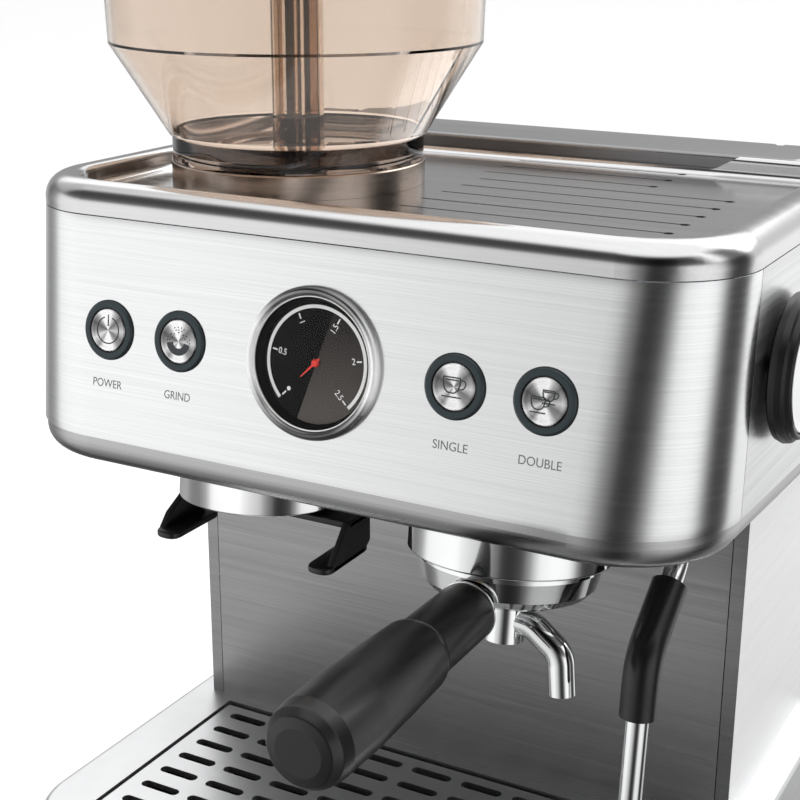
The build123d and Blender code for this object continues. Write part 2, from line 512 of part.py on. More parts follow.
# ================= brew group =================
collar = ring(GROUP, COLLAR_RADIUS, COLLAR_RADIUS - COLLAR_WALL, 0, COLLAR_HEIGHT)
collar = fillet([e for e in collar.edges().filter_by(GeomType.CIRCLE)
                 if abs(GROUP.to_local_coords(e.center()).Z) < 0.1], 0.9)
PARTS["group_collar"] = collar
HEAD_RADIUS = COLLAR_RADIUS - COLLAR_WALL - 0.05
CAVITY_RADIUS = EAR_RADIUS + FREE + 0.3
LEDGE_LOW = 0.8
EAR_LOW = LEDGE_LOW + LEDGE_HEIGHT + FREE
GASKET_LOW = BOWL_RIM + BASKET_WALL + 0.25
GASKET_HIGH = GASKET_LOW + 6.0
brew_head = disc(GROUP, HEAD_RADIUS, LEDGE_LOW, COLLAR_HEIGHT - 1)
brew_head -= disc(GROUP, CAVITY_RADIUS, LEDGE_LOW + LEDGE_HEIGHT, GASKET_HIGH)
brew_head -= disc(GROUP, LEDGE_RADIUS, -2, LEDGE_LOW + LEDGE_HEIGHT + 1)
SLOT_HALF_ANGLE = EAR_HALF_ANGLE + 7.0


def sector(radius, low, high, middle, half_angle):
    """Pie slice about the group axis."""
    face = make_face([Line((0, 0), Vector(radius, 0).rotate(Axis.Z, middle - half_angle)),
                      CenterArc((0, 0), radius, middle - half_angle, 2 * half_angle),
                      Line(Vector(radius, 0).rotate(Axis.Z, middle + half_angle), (0, 0))])
    return Pos(0, 0, low) * extrude(face, high - low)


for middle in (-UNLOCK_ANGLE, 180 - UNLOCK_ANGLE):
    slot = sector(CAVITY_RADIUS, -2, LEDGE_LOW + LEDGE_HEIGHT + 1, middle, SLOT_HALF_ANGLE)
    brew_head -= GROUP * slot
brew_head -= disc(GROUP, 3.0, 0, COLLAR_HEIGHT)
PARTS["brew_head"] = brew_head
PARTS["group_gasket"] = ring(GROUP, EAR_RADIUS, BASKET_RADIUS + 0.8, GASKET_LOW, GASKET_HIGH)
SCREEN_RADIUS = BASKET_RADIUS - BASKET_WALL - 1.0
screen = disc(GROUP, SCREEN_RADIUS, GASKET_HIGH - 6.5, GASKET_HIGH - 5.3)
screen += ring(GROUP, SCREEN_RADIUS, SCREEN_RADIUS - 1.0, GASKET_HIGH - 5.4, GASKET_HIGH)
for radius, count in ((9.0, 8), (15.0, 14), (21.0, 20)):
    for spot in PolarLocations(radius, count):
        screen -= GROUP * (Pos(0, 0, GASKET_HIGH - 6) * spot * Cylinder(0.9, 4))
screen -= disc(GROUP, 2.6, 0, 20)
PARTS["shower_screen"] = screen
screen_screw = (disc(GROUP, 5.0, GASKET_HIGH - 8.7, GASKET_HIGH - 6.5)
                + disc(GROUP, 2.5, GASKET_HIGH - 6.6, COLLAR_HEIGHT - 4))
PARTS["shower_screw"] = screen_screw
boiler = disc(GROUP, 34.0, COLLAR_HEIGHT - 1, COLLAR_HEIGHT + 36)
boiler = fillet(boiler.edges().sort_by(Axis.Z)[-1:], 5.0)
boiler += disc(GROUP, 4.0, COLLAR_HEIGHT + 30, COLLAR_HEIGHT + 44, 18, 8)
boiler += disc(GROUP, 4.0, COLLAR_HEIGHT + 30, COLLAR_HEIGHT + 44, -18, 8)
PARTS["boiler"] = boiler

# ================= portafilter =================
bowl = turned(GROUP, [(0, -BOWL_DEPTH), (19.0, -BOWL_DEPTH), (28.5, -BOWL_DEPTH + 1.0),
                      (BOWL_RADIUS - 4.2, -BOWL_DEPTH + 2.8), (BOWL_RADIUS - 1.6, -BOWL_DEPTH + 5.8),
                      (BOWL_RADIUS, -3.0), (BOWL_RADIUS, -0.6), (BOWL_NECK_RADIUS, -0.4),
                      (BOWL_NECK_RADIUS, BOWL_RIM), (BASKET_RADIUS + 0.8, BOWL_RIM),
                      (BASKET_RADIUS + 0.8, -4.0), (24.0, -BOWL_DEPTH + 4.0), (0, -BOWL_DEPTH + 2.5)])
for middle in (0, 180):
    ear = sector(EAR_RADIUS, EAR_LOW, EAR_LOW + EAR_HEIGHT, middle, EAR_HALF_ANGLE)
    bowl += GROUP * ear - disc(GROUP, BOWL_NECK_RADIUS - 1, -2, 20)
HANDLE_Z = SEAM_HEIGHT - HANDLE_DROP
HANDLE = Plane(origin=(GROUP_X, HANDLE_START_Y, HANDLE_Z), x_dir=(1, 0, 0), z_dir=(0, -1, 0))
NECK_BACK = -(SPOUT_AXIS_Y - HANDLE_START_Y) + 20.0
neck = disc(HANDLE, 6.3, NECK_BACK, -1.0) + disc(HANDLE, 8.2, -1.0, 0)
TANG_RADIUS = 4.0
TANG_LENGTH = 60.0
neck += disc(HANDLE, TANG_RADIUS, 0, TANG_LENGTH)
bowl += neck - disc(GROUP, 24.0, -BOWL_DEPTH + 4, 20)
bowl += ring(GROUP, 10.0, 4.0, -BOWL_DEPTH - 2.0, -BOWL_DEPTH + 1)
bowl -= disc(GROUP, 4.0, -40, -BOWL_DEPTH + 4)
PARTS["portafilter_body"] = bowl

basket = turned(GROUP, [(0, -BOWL_DEPTH + 4.6), (22.0, -BOWL_DEPTH + 5.2), (BASKET_RADIUS - 1.5, -3.0),
                        (BASKET_RADIUS, 0), (BASKET_RADIUS, BOWL_RIM + 0.05),
                        (BASKET_LIP_RADIUS, BOWL_RIM + 0.05), (BASKET_LIP_RADIUS, BOWL_RIM + BASKET_WALL),
                 (BASKET_RADIUS - BASKET_WALL, BOWL_RIM + BASKET_WALL),
                        (BASKET_RADIUS - BASKET_WALL, 0), (BASKET_RADIUS - 2.4, -2.6),
                        (21.6, -BOWL_DEPTH + 6.1), (0, -BOWL_DEPTH + 5.6)])
PARTS["filter_basket"] = basket

HANDLE_LENGTH = HANDLE_START_Y - HANDLE_END_Y
STEP = HANDLE_START_Y - HANDLE_STEP_Y
grip_outline = [(TANG_RADIUS + RUNNING, 0.1), (HANDLE_NECK_RADIUS - 1.6, 0.1),
                (HANDLE_NECK_RADIUS - 0.4, 0.8),
                (HANDLE_NECK_RADIUS, 2.2), (HANDLE_NECK_RADIUS + 0.4, STEP - 1.4),
                (HANDLE_NECK_RADIUS - 0.2, STEP - 1.0), (HANDLE_NECK_RADIUS - 0.2, STEP - 0.2),
                (GRIP_RADIUS - 1.0, STEP), (GRIP_RADIUS, STEP + 1.2), (GRIP_RADIUS + 1.2, STEP + 22),
                (GRIP_SWELL, STEP + 46), (GRIP_SWELL - 0.4, HANDLE_LENGTH - 8),
                (GRIP_SWELL - 2.6, HANDLE_LENGTH - 2.4), (GRIP_SWELL - 5.5, HANDLE_LENGTH), (0, HANDLE_LENGTH),
                (0, TANG_LENGTH + 0.5), (TANG_RADIUS + RUNNING, TANG_LENGTH + 0.5)]
PARTS["portafilter_handle"] = turned(HANDLE, grip_outline)

hub_origin = GROUP.from_local_coords(Vector(0, 0, -BOWL_DEPTH - 2.0))
HUB = Plane(origin=hub_origin, x_dir=(1, 0, 0), z_dir=AXIS_UP)
hub = disc(HUB, HUB_RADIUS, -18.0, -0.1)
arms = None
for side in (-1, 1):
    route = FilletPolyline((0, 0, -9.0), (side * 12.0, 0, -10.0), (side * SPOUT_SPREAD, 0, -19.0),
                           (side * (SPOUT_SPREAD + 2.0), 0, -35.0), radius=10.0)
    start = Plane(origin=route @ 0, z_dir=route % 0)
    tube = sweep(start * Circle(SPOUT_RADIUS), path=route)
    bore = sweep(start * Circle(SPOUT_RADIUS - SPOUT_WALL), path=route)
    arms = (tube, bore) if arms is None else (arms[0] + tube, arms[1] + bore)
spout = hub + HUB * arms[0] - HUB * arms[1]
spout -= disc(HUB, 3.6, -9, 2)
PARTS["portafilter_spout"] = spout

# ================= grinder outlet and fork =================
outlet = ring(OUTLET, OUTLET_RADIUS, OUTLET_RADIUS - OUTLET_WALL, 0, OUTLET_HEIGHT)
outlet = fillet([e for e in outlet.edges().filter_by(GeomType.CIRCLE)
                 if abs(OUTLET.to_local_coords(e.center()).Z) < 0.1], 0.7)
PARTS["grinder_outlet_ring"] = outlet

FORK_TOP = RIM_Z - OUTLET_RADIUS * math.sin(TILT) + 1.6
FORK_ROOT_FRONT = SPOUT_AXIS_Y - 3.0
FORK_ROOT_REAR = SPOUT_AXIS_Y + 14.5
FORK_RELIEF = 10.0           # the left cheek stands back this far, clear of the outlet ring's side
FORK_FLOOR = RIM_Z - 20.3
FORK_X = OUTLET_X + FORK_SHIFT
fork_bar = block(FORK_X - FORK_HALF_WIDTH, FORK_X + FORK_HALF_WIDTH, FORK_ROOT_FRONT + FORK_RELIEF,
                 FORK_ROOT_REAR, FORK_TOP - FORK_PLATE, FORK_TOP)
fork_bar += block(FORK_X - FORK_RAIL_INNER, FORK_X + FORK_HALF_WIDTH, FORK_ROOT_FRONT, FORK_ROOT_REAR,
                  FORK_TOP - FORK_PLATE, FORK_TOP)
LEVEL_OUTLET = Plane(origin=(OUTLET_X, SPOUT_AXIS_Y, 0))
CHUTE_RADIUS = 11.0
bar_rear = SPOUT_AXIS_Y + OUTLET_RADIUS + 11.0
fork = fork_bar + block(FORK_X - 24.0, FORK_X + 24.0, FORK_ROOT_REAR - 1, bar_rear,
                        FORK_TOP - FORK_PLATE, FORK_TOP)
post_top = under_plane_z(bar_rear, PAN_DEPTH) - 0.05
for side in (-1, 1):
    post_x = FORK_X + side * 17.0
    fork += block(post_x - 6.0, post_x + 6.0, bar_rear - 6.0, bar_rear, FORK_TOP - FORK_PLATE, post_top)
fork -= disc(LEVEL_OUTLET, CHUTE_RADIUS + 2.0, FORK_TOP - 10, FORK_TOP + 10)
fork -= disc(OUTLET, OUTLET_RADIUS + RUNNING, -RUNNING, OUTLET_HEIGHT)
for side in (-1, 1):
    outer = FORK_X + side * FORK_HALF_WIDTH
    cheek_front = FORK_ROOT_FRONT + (FORK_RELIEF if side < 0 else 0)
    boot = make_face(Polyline((0, cheek_front, FORK_TOP), (0, FORK_ROOT_REAR, FORK_TOP),
                              (0, FORK_ROOT_REAR, FORK_FLOOR + 2.0), (0, FORK_ROOT_REAR - 4.0, FORK_FLOOR),
                              (0, FORK_TIP_Y + 4.0, FORK_FLOOR), (0, FORK_TIP_Y + 4.0, FORK_FLOOR + 3.0),
                              (0, FORK_TIP_Y + 8.0, FORK_FLOOR + 8.0), close=True))
    fork += Pos(outer, 0, 0) * extrude(boot, FORK_PLATE, dir=(-side, 0, 0))
    rail_middle = FORK_X + side * (FORK_HALF_WIDTH + FORK_RAIL_INNER) / 2
    rail_width = FORK_HALF_WIDTH - FORK_RAIL_INNER
    rail = Pos(rail_middle, (FORK_ROOT_REAR + FORK_TIP_Y) / 2, FORK_FLOOR) * extrude(
        RectangleRounded(rail_width, FORK_ROOT_REAR - FORK_TIP_Y, 5.0), 3.0)
    fork += rail
PARTS["portafilter_fork"] = fork

# ================= hopper =================
collar_low = TRAY_FLOOR + 0.05
collar_high = TRAY_FLOOR + HOPPER_RING_HEIGHT
PARTS["hopper_collar"] = turned(HOPPER, [(HOPPER_RING_RADIUS - 5.0, collar_low),
                                         (HOPPER_RING_RADIUS, collar_low),
                                         (HOPPER_RING_RADIUS, collar_high - 0.5),
                                         (HOPPER_RING_RADIUS - 0.5, collar_high),
                                         (HOPPER_RING_RADIUS - 5.0, collar_high)])
RING_TOP = TRAY_FLOOR + HOPPER_RING_HEIGHT + 0.3
SPIGOT_RADIUS = GRINDER_RADIUS - GRINDER_WALL - 0.6
HOPPER_FLOOR = RING_TOP + 1.5
CARRIER_TOP = -8.0
wall = HOPPER_WALL
hopper_profile = [(SPIGOT_RADIUS - wall, CARRIER_TOP), (SPIGOT_RADIUS, CARRIER_TOP),
                  (SPIGOT_RADIUS, RING_TOP),
                  (HOPPER_RING_RADIUS - 0.6, RING_TOP), (HOPPER_RING_RADIUS - 0.6, HOPPER_FLARE_START - 1.0),
                  (HOPPER_RING_RADIUS + 0.8, HOPPER_FLARE_START),
                  (HOPPER_TOP_RADIUS, HOPPER_FLARE_TOP), (HOPPER_TOP_RADIUS + 1.2, HOPPER_TOP),
                  (HOPPER_TOP_RADIUS + 1.2 - wall, HOPPER_TOP), (HOPPER_TOP_RADIUS - wall, HOPPER_FLARE_TOP + 1.0),
                  (HOPPER_RING_RADIUS - 1.6, HOPPER_FLARE_START + 1.5),
                  (HOPPER_RING_RADIUS - 4.0, HOPPER_FLOOR + wall), (0, HOPPER_FLOOR + wall),
                  (0, HOPPER_FLOOR), (SPIGOT_RADIUS - wall, HOPPER_FLOOR)]
hopper = turned(HOPPER, hopper_profile)
GATE_RADIUS = SPIGOT_RADIUS - wall - 1.0
STEM_TUBE_RADIUS = 11.0
for middle in (0, 180):
    feed = sector(GATE_RADIUS, HOPPER_FLOOR - 1, HOPPER_FLOOR + wall + 1, middle, 40.0)
    feed -= Pos(0, 0, HOPPER_FLOOR) * Cylinder(STEM_TUBE_RADIUS + 1.5, 20)
    hopper -= HOPPER * feed
PARTS["bean_hopper"] = hopper

gate_low = HOPPER_FLOOR + wall + FREE
gate = ring(HOPPER, GATE_RADIUS + 1.5, STEM_TUBE_RADIUS - 2, gate_low, gate_low + 1.6)
for middle in (0, 180):
    feed = sector(GATE_RADIUS, gate_low - 1, gate_low + 3, middle, 38.0)
    feed -= Pos(0, 0, gate_low) * Cylinder(STEM_TUBE_RADIUS + 1.5, 20)
    gate -= HOPPER * feed
STEM_TOP = HOPPER_FLARE_TOP + 20.0
gate += ring(HOPPER, STEM_TUBE_RADIUS, STEM_TUBE_RADIUS - 1.4, gate_low, STEM_TOP)
gate += disc(HOPPER, 2.4, gate_low, STEM_TOP)
for turn in (0, 45, 90, 135):
    fin = Pos(0, 0, (gate_low + STEM_TOP) / 2) * Box(2 * STEM_TUBE_RADIUS - 1, 1.4, STEM_TOP - gate_low)
    gate += HOPPER * (Rot(0, 0, turn) * fin)
gate += disc(HOPPER, STEM_TUBE_RADIUS + 1.5, STEM_TOP - 0.5, STEM_TOP + 4)
PARTS["hopper_gate"] = gate

LID_RADIUS = HOPPER_TOP_RADIUS + 2.0
lid_profile = [(0, HOPPER_TOP + 0.1), (LID_RADIUS, HOPPER_TOP + 0.1), (LID_RADIUS, HOPPER_TOP + 5.0),
               (LID_RADIUS - 1.6, HOPPER_TOP + 6.6), (LID_RADIUS - 9.0, HOPPER_TOP + 8.2), (26.0, HOPPER_TOP + 9.2),
               (23.0, HOPPER_TOP + 3.4), (0, HOPPER_TOP + 3.0)]
hopper_lid = turned(HOPPER, lid_profile)
seal_radius = HOPPER_TOP_RADIUS + 1.2 - wall - 0.6
hopper_lid += ring(HOPPER, seal_radius, seal_radius - 2.0, HOPPER_TOP - 5.0, HOPPER_TOP + 0.5)
bar = Pos(0, 0, HOPPER_TOP + 6.0) * Box(44.0, 6.0, 7.0)
bar = fillet(bar.edges().filter_by(Axis.X).sort_by(Axis.Z)[-2:], 2.4)
hopper_lid += HOPPER * bar
PARTS["hopper_lid"] = hopper_lid

# ================= grinder =================
BURR_LOW = -32.0
CHAMBER_FLOOR = -44.0
housing = ring(HOPPER, GRINDER_RADIUS, GRINDER_RADIUS - GRINDER_WALL, CHAMBER_FLOOR - 3, TRAY_FLOOR)
housing += disc(HOPPER, GRINDER_RADIUS, CHAMBER_FLOOR - 3, CHAMBER_FLOOR)
housing += ring(HOPPER, GRINDER_RADIUS + 8, GRINDER_RADIUS - 1, -2.0, TRAY_FLOOR - TRAY_THICKNESS - 0.2)
housing -= disc(HOPPER, BURR_SHAFT_RADIUS + 1.0, -60, -30)
CHUTE_X = OUTLET_X
PASSAGE_HIGH = CHAMBER_FLOOR + 11.0
passage = block(CHUTE_X - 6.5, CHUTE_X + 6.5, SPOUT_AXIS_Y + 2, HOPPER_Y - 10,
                SEAM_HEIGHT + CHAMBER_FLOOR, SEAM_HEIGHT + PASSAGE_HIGH)
housing -= passage
PARTS["grinder_housing"] = housing
carrier = turned(HOPPER, [(16.0, CARRIER_TOP), (16.0, -14.0), (22.0, -20.0), (BURR_RADIUS, -20.0),
                          (SPIGOT_RADIUS, -17.0), (SPIGOT_RADIUS, CARRIER_TOP)])
PARTS["upper_burr"] = carrier
rotor = turned(HOPPER, [(0, -6.0), (5.0, -7.5), (9.0, -13.5), (20.0, -20.6), (BURR_RADIUS, -20.6),
                        (BURR_RADIUS, BURR_LOW), (BURR_SHAFT_RADIUS, BURR_LOW), (BURR_SHAFT_RADIUS, -70.0),
                        (0, -70.0)])
for turn in range(0, 360, 45):
    tooth = Pos(24.5, 0, -20.6) * Rot(0, 0, 25) * Box(11, 1.4, 1.8)
    rotor -= HOPPER * (Rot(0, 0, turn) * tooth)
PARTS["lower_burr"] = rotor
MOTOR_TOP = CHAMBER_FLOOR - 3.1
motor = disc(HOPPER, MOTOR_RADIUS, -96.0, MOTOR_TOP)
motor = fillet(motor.edges().sort_by(Axis.Z)[:1], 3.0)
motor -= disc(HOPPER, BURR_SHAFT_RADIUS + RUNNING, -71.0, MOTOR_TOP + 1)
PARTS["grinder_motor"] = motor
chute_top = SEAM_HEIGHT + PASSAGE_HIGH + 2.5
chute = disc(LEVEL_OUTLET, CHUTE_RADIUS, RIM_Z + 1.0, chute_top)
duct_outer = block(CHUTE_X - 8.5, CHUTE_X + 8.5, SPOUT_AXIS_Y, SPOUT_AXIS_Y + 20,
                   SEAM_HEIGHT + CHAMBER_FLOOR - 2, SEAM_HEIGHT + PASSAGE_HIGH + 2)
chute += duct_outer - disc(HOPPER, GRINDER_RADIUS + 0.1, -90, 20)
chute -= disc(LEVEL_OUTLET, CHUTE_RADIUS - 1.6, RIM_Z - 5, chute_top - 2.5)
chute -= passage
PARTS["grinder_chute"] = chute

# ================= steam =================
steam_valve = block(WAND_X - 14, WAND_X + 18, KNOB_Y - 11, KNOB_Y + 11, SEAM_HEIGHT - KNOB_DROP - 13,
                    SEAM_HEIGHT - KNOB_DROP + 13)
steam_valve += disc(knob_axis, 7.0, -20, -8)
steam_valve -= disc(knob_axis, KNOB_SHAFT_RADIUS + RUNNING, -34, 0)
NUT_TOP = under_plane_z(WAND_Y, PAN_DEPTH) + 6.0
NUT_LOW = under_plane_z(WAND_Y, PAN_DEPTH) - 7.0
steam_valve += disc(WAND_POST, 5.0, NUT_TOP + 8.5, SEAM_HEIGHT - KNOB_DROP - 12)
PARTS["steam_valve"] = steam_valve
nut = disc(WAND_POST, NUT_RADIUS, NUT_LOW, NUT_TOP)
nut = fillet(nut.edges().sort_by(Axis.Z)[:1], 2.0)
nut -= disc(WAND_POST, WAND_RADIUS + RUNNING, NUT_LOW - 5, NUT_TOP + 5)
nut -= disc(WAND_POST, 6.6, NUT_LOW + 4.0, NUT_TOP - 2.0)
nut -= disc(WAND_POST, 6.6, NUT_TOP - 2.5, NUT_TOP + 1)
PARTS["wand_nut"] = nut

WAND_REACH = 36.0
WAND_KNEE = 13.0
WAND_LIFT = 27.0
WAND_TIP_Z = 96.0
wand_route = FilletPolyline((WAND_X, WAND_Y, NUT_TOP + 8.0), (WAND_X, WAND_Y, NUT_LOW - WAND_KNEE),
                            (WAND_X, WAND_Y - WAND_REACH, NUT_LOW - WAND_KNEE - WAND_LIFT),
                            (WAND_X, WAND_Y - WAND_REACH - 8.0, WAND_TIP_Z), radius=20.0)
start = Plane(origin=wand_route @ 0, z_dir=wand_route % 0)
wand = sweep(start * Circle(WAND_RADIUS), path=wand_route)
wand += disc(WAND_POST, 6.2, NUT_LOW + 4.6, NUT_LOW + 9.0)
PARTS["steam_wand"] = wand
GRIP_FROM = 0.30
GRIP_TO = 0.66
grip_points = [wand_route @ (GRIP_FROM + (GRIP_TO - GRIP_FROM) * k / 8) for k in range(9)]
grip_line = Spline(*grip_points, tangents=[wand_route % GRIP_FROM, wand_route % GRIP_TO])
grip_start = Plane(origin=grip_line @ 0, z_dir=grip_line % 0)
grip = sweep(grip_start * Circle(GRIP_SLEEVE_RADIUS), path=grip_line) - wand
PARTS["wand_grip"] = grip
TIP = Plane(origin=wand_route @ 1, z_dir=wand_route % 1)
PARTS["steam_tip"] = turned(TIP, [(0, 0.1), (WAND_RADIUS + 1.2, 0.1), (WAND_RADIUS + 1.2, 5.0), (3.0, 10.0),
                                  (0, 11.5)])

knob_profile = [(0, KNOB_STANDOFF), (KNOB_RADIUS - 3.5, KNOB_STANDOFF),
                (KNOB_RADIUS - 0.8, KNOB_STANDOFF + 1.6),
                (KNOB_RADIUS, KNOB_STANDOFF + 4.0), (KNOB_RADIUS - 1.4, KNOB_THICKNESS - 1.2),
                (KNOB_RADIUS - 3.6, KNOB_THICKNESS), (KNOB_RADIUS - 7.0, KNOB_THICKNESS - 0.6),
                (KNOB_RADIUS - 7.4, KNOB_THICKNESS - 3.4), (0, KNOB_THICKNESS - 3.4)]
knob = turned(knob_axis, knob_profile)
for spot in range(24):
    dent = Pos(KNOB_RADIUS + 1.6, 0, KNOB_THICKNESS / 2) * Cylinder(2.2, KNOB_THICKNESS)
    dent = Rot(0, 0, spot * 15) * dent
    knob -= knob_axis * dent
knob += disc(knob_axis, KNOB_SHAFT_RADIUS, -33.5, KNOB_STANDOFF + 0.5)
PARTS["steam_knob"] = knob
PARTS["knob_cap"] = turned(knob_axis, [(0, KNOB_THICKNESS - 3.35),
                                       (KNOB_RADIUS - 7.6, KNOB_THICKNESS - 3.35),
                                       (KNOB_RADIUS - 7.7, KNOB_THICKNESS - 1.6),
                                       (KNOB_RADIUS - 9.0, KNOB_THICKNESS - 1.0), (0, KNOB_THICKNESS - 0.6)])

# ================= inner works in the column =================
pump = Pos(70, 150, 100) * Rot(0, 90, 0) * Cylinder(17, 62)
pump += block(48, 92, 132, 168, BASE_TOP, 102)
PARTS["pump"] = pump
mains_board = block(-100, -20, 170, 171.6, 90, 160)
mains_board += block(-90, -60, 158, 170, 100, 125) + block(-48, -30, 162, 170, 110, 150)
PARTS["circuit_boards"] = Compound(board.solids() + mains_board.solids())
inlet = INLET * Pos(0, 0, -9) * Box(INLET_WIDTH - 2, INLET_HEIGHT - 2, 18)
inlet += INLET * Pos(0, 0, 0.9) * Box(INLET_WIDTH + 5, INLET_HEIGHT + 5, 1.6)
inlet -= INLET * Pos(0, 0, -6) * Box(INLET_WIDTH - 6, INLET_HEIGHT - 7, 16)
for offset in (-7.0, 0.0, 7.0):
    inlet += INLET * Pos(offset, 0, -10) * Box(2.0, 4.0, 8)
PARTS["power_inlet"] = inlet
screws = []
for x, z in screw_spots:
    plane = Plane(origin=(x, HEAD_DEPTH, z), x_dir=(1, 0, 0), z_dir=(0, 1, 0))
    head = turned(plane, [(0, 0.05), (3.0, 0.05), (3.0, 0.9), (2.0, 1.6), (0, 1.6)])
    screws.append(head + disc(plane, 1.5, -6, 0.1))
PARTS["case_screws"] = Compound(screws)

# ================= place the origin and write =================
low = Vector(1e9, 1e9, 1e9)
high = Vector(-1e9, -1e9, -1e9)
for shape in PARTS.values():
    box = shape.bounding_box()
    low = Vector(min(low.X, box.min.X), min(low.Y, box.min.Y), min(low.Z, box.min.Z))
    high = Vector(max(high.X, box.max.X), max(high.Y, box.max.Y), max(high.Z, box.max.Z))
ORIGIN = Vector((low.X + high.X) / 2, (low.Y + high.Y) / 2, 0)

os.makedirs("parts", exist_ok=True)
for name, shape in PARTS.items():
    export_step(Pos(-ORIGIN.X, -ORIGIN.Y, 0) * shape, f"parts/{name}.step")
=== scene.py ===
import json
import math

import bpy
import bmesh
from mathutils import Matrix, Vector


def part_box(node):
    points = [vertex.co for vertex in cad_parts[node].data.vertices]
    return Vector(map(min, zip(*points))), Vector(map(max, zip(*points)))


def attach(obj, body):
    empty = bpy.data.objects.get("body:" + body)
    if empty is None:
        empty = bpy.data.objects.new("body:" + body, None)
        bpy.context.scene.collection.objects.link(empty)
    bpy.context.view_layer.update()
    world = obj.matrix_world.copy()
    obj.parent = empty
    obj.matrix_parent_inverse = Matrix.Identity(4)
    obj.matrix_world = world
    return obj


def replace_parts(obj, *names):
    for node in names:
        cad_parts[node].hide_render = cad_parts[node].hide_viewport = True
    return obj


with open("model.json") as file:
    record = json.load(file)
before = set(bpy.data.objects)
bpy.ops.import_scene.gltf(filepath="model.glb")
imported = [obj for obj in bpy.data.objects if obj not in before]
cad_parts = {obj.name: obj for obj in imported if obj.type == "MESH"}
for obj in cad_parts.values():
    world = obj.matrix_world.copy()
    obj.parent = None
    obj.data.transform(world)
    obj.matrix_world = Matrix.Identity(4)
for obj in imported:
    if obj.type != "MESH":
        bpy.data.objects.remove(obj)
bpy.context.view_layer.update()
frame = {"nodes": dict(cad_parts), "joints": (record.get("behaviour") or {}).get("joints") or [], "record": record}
MM = 0.001

# ---------------------------------------------------------------- places taken from the frame
JOINTS = {joint["name"]: joint for joint in frame["joints"]}


def middle(node):
    low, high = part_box(node)
    return (low + high) / 2


def on_axis(joint):
    return Vector(JOINTS[joint]["pos_m"]), Vector(JOINTS[joint]["axis"]).normalized()


SIDE_SHEET_REAR = 244 * MM            # rear end of the head behind the panel's top seam
SEAM_GAP = 0.4 * MM
MIDDLE_X = middle("head_front_panel").x
SEAM_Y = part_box("head_side_left")[1].y - SIDE_SHEET_REAR
SEAM_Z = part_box("top_cover")[0].z - SEAM_GAP
HALF_WIDTH = (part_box("head_front_panel")[1].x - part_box("head_front_panel")[0].x) / 2
GAUGE_CENTRE, PANEL_INWARD = on_axis("gauge_sweep")
PANEL_NORMAL = -PANEL_INWARD
PANEL_DOWN = Vector((0, -PANEL_NORMAL.z, PANEL_NORMAL.y)).normalized()
GROUP_CENTRE, GROUP_UP = on_axis("portafilter_turn")
KNOB_CENTRE, KNOB_OUT = on_axis("steam_turn")


def seam_point(x, y, z):
    """Point given in millimetres right of, behind and above the middle of the panel's top seam."""
    return Vector((MIDDLE_X + x * MM, SEAM_Y + y * MM, SEAM_Z + z * MM))


def placed(origin, z_dir, x_dir=(1, 0, 0)):
    """Matrix whose Z runs along z_dir."""
    z_axis = Vector(z_dir).normalized()
    x_axis = Vector(x_dir)
    x_axis = (x_axis - z_axis * x_axis.dot(z_axis)).normalized()
    y_axis = z_axis.cross(x_axis)
    turn = Matrix((x_axis, y_axis, z_axis)).transposed().to_4x4()
    return Matrix.Translation(origin) @ turn


def panel_place(x, down, proud=0.0):
    """Matrix on the front panel, in millimetres right of its middle and down from its top seam."""
    point = Vector((MIDDLE_X + x * MM, SEAM_Y, SEAM_Z)) + PANEL_DOWN * down * MM + PANEL_NORMAL * proud * MM
    return placed(point, PANEL_NORMAL)


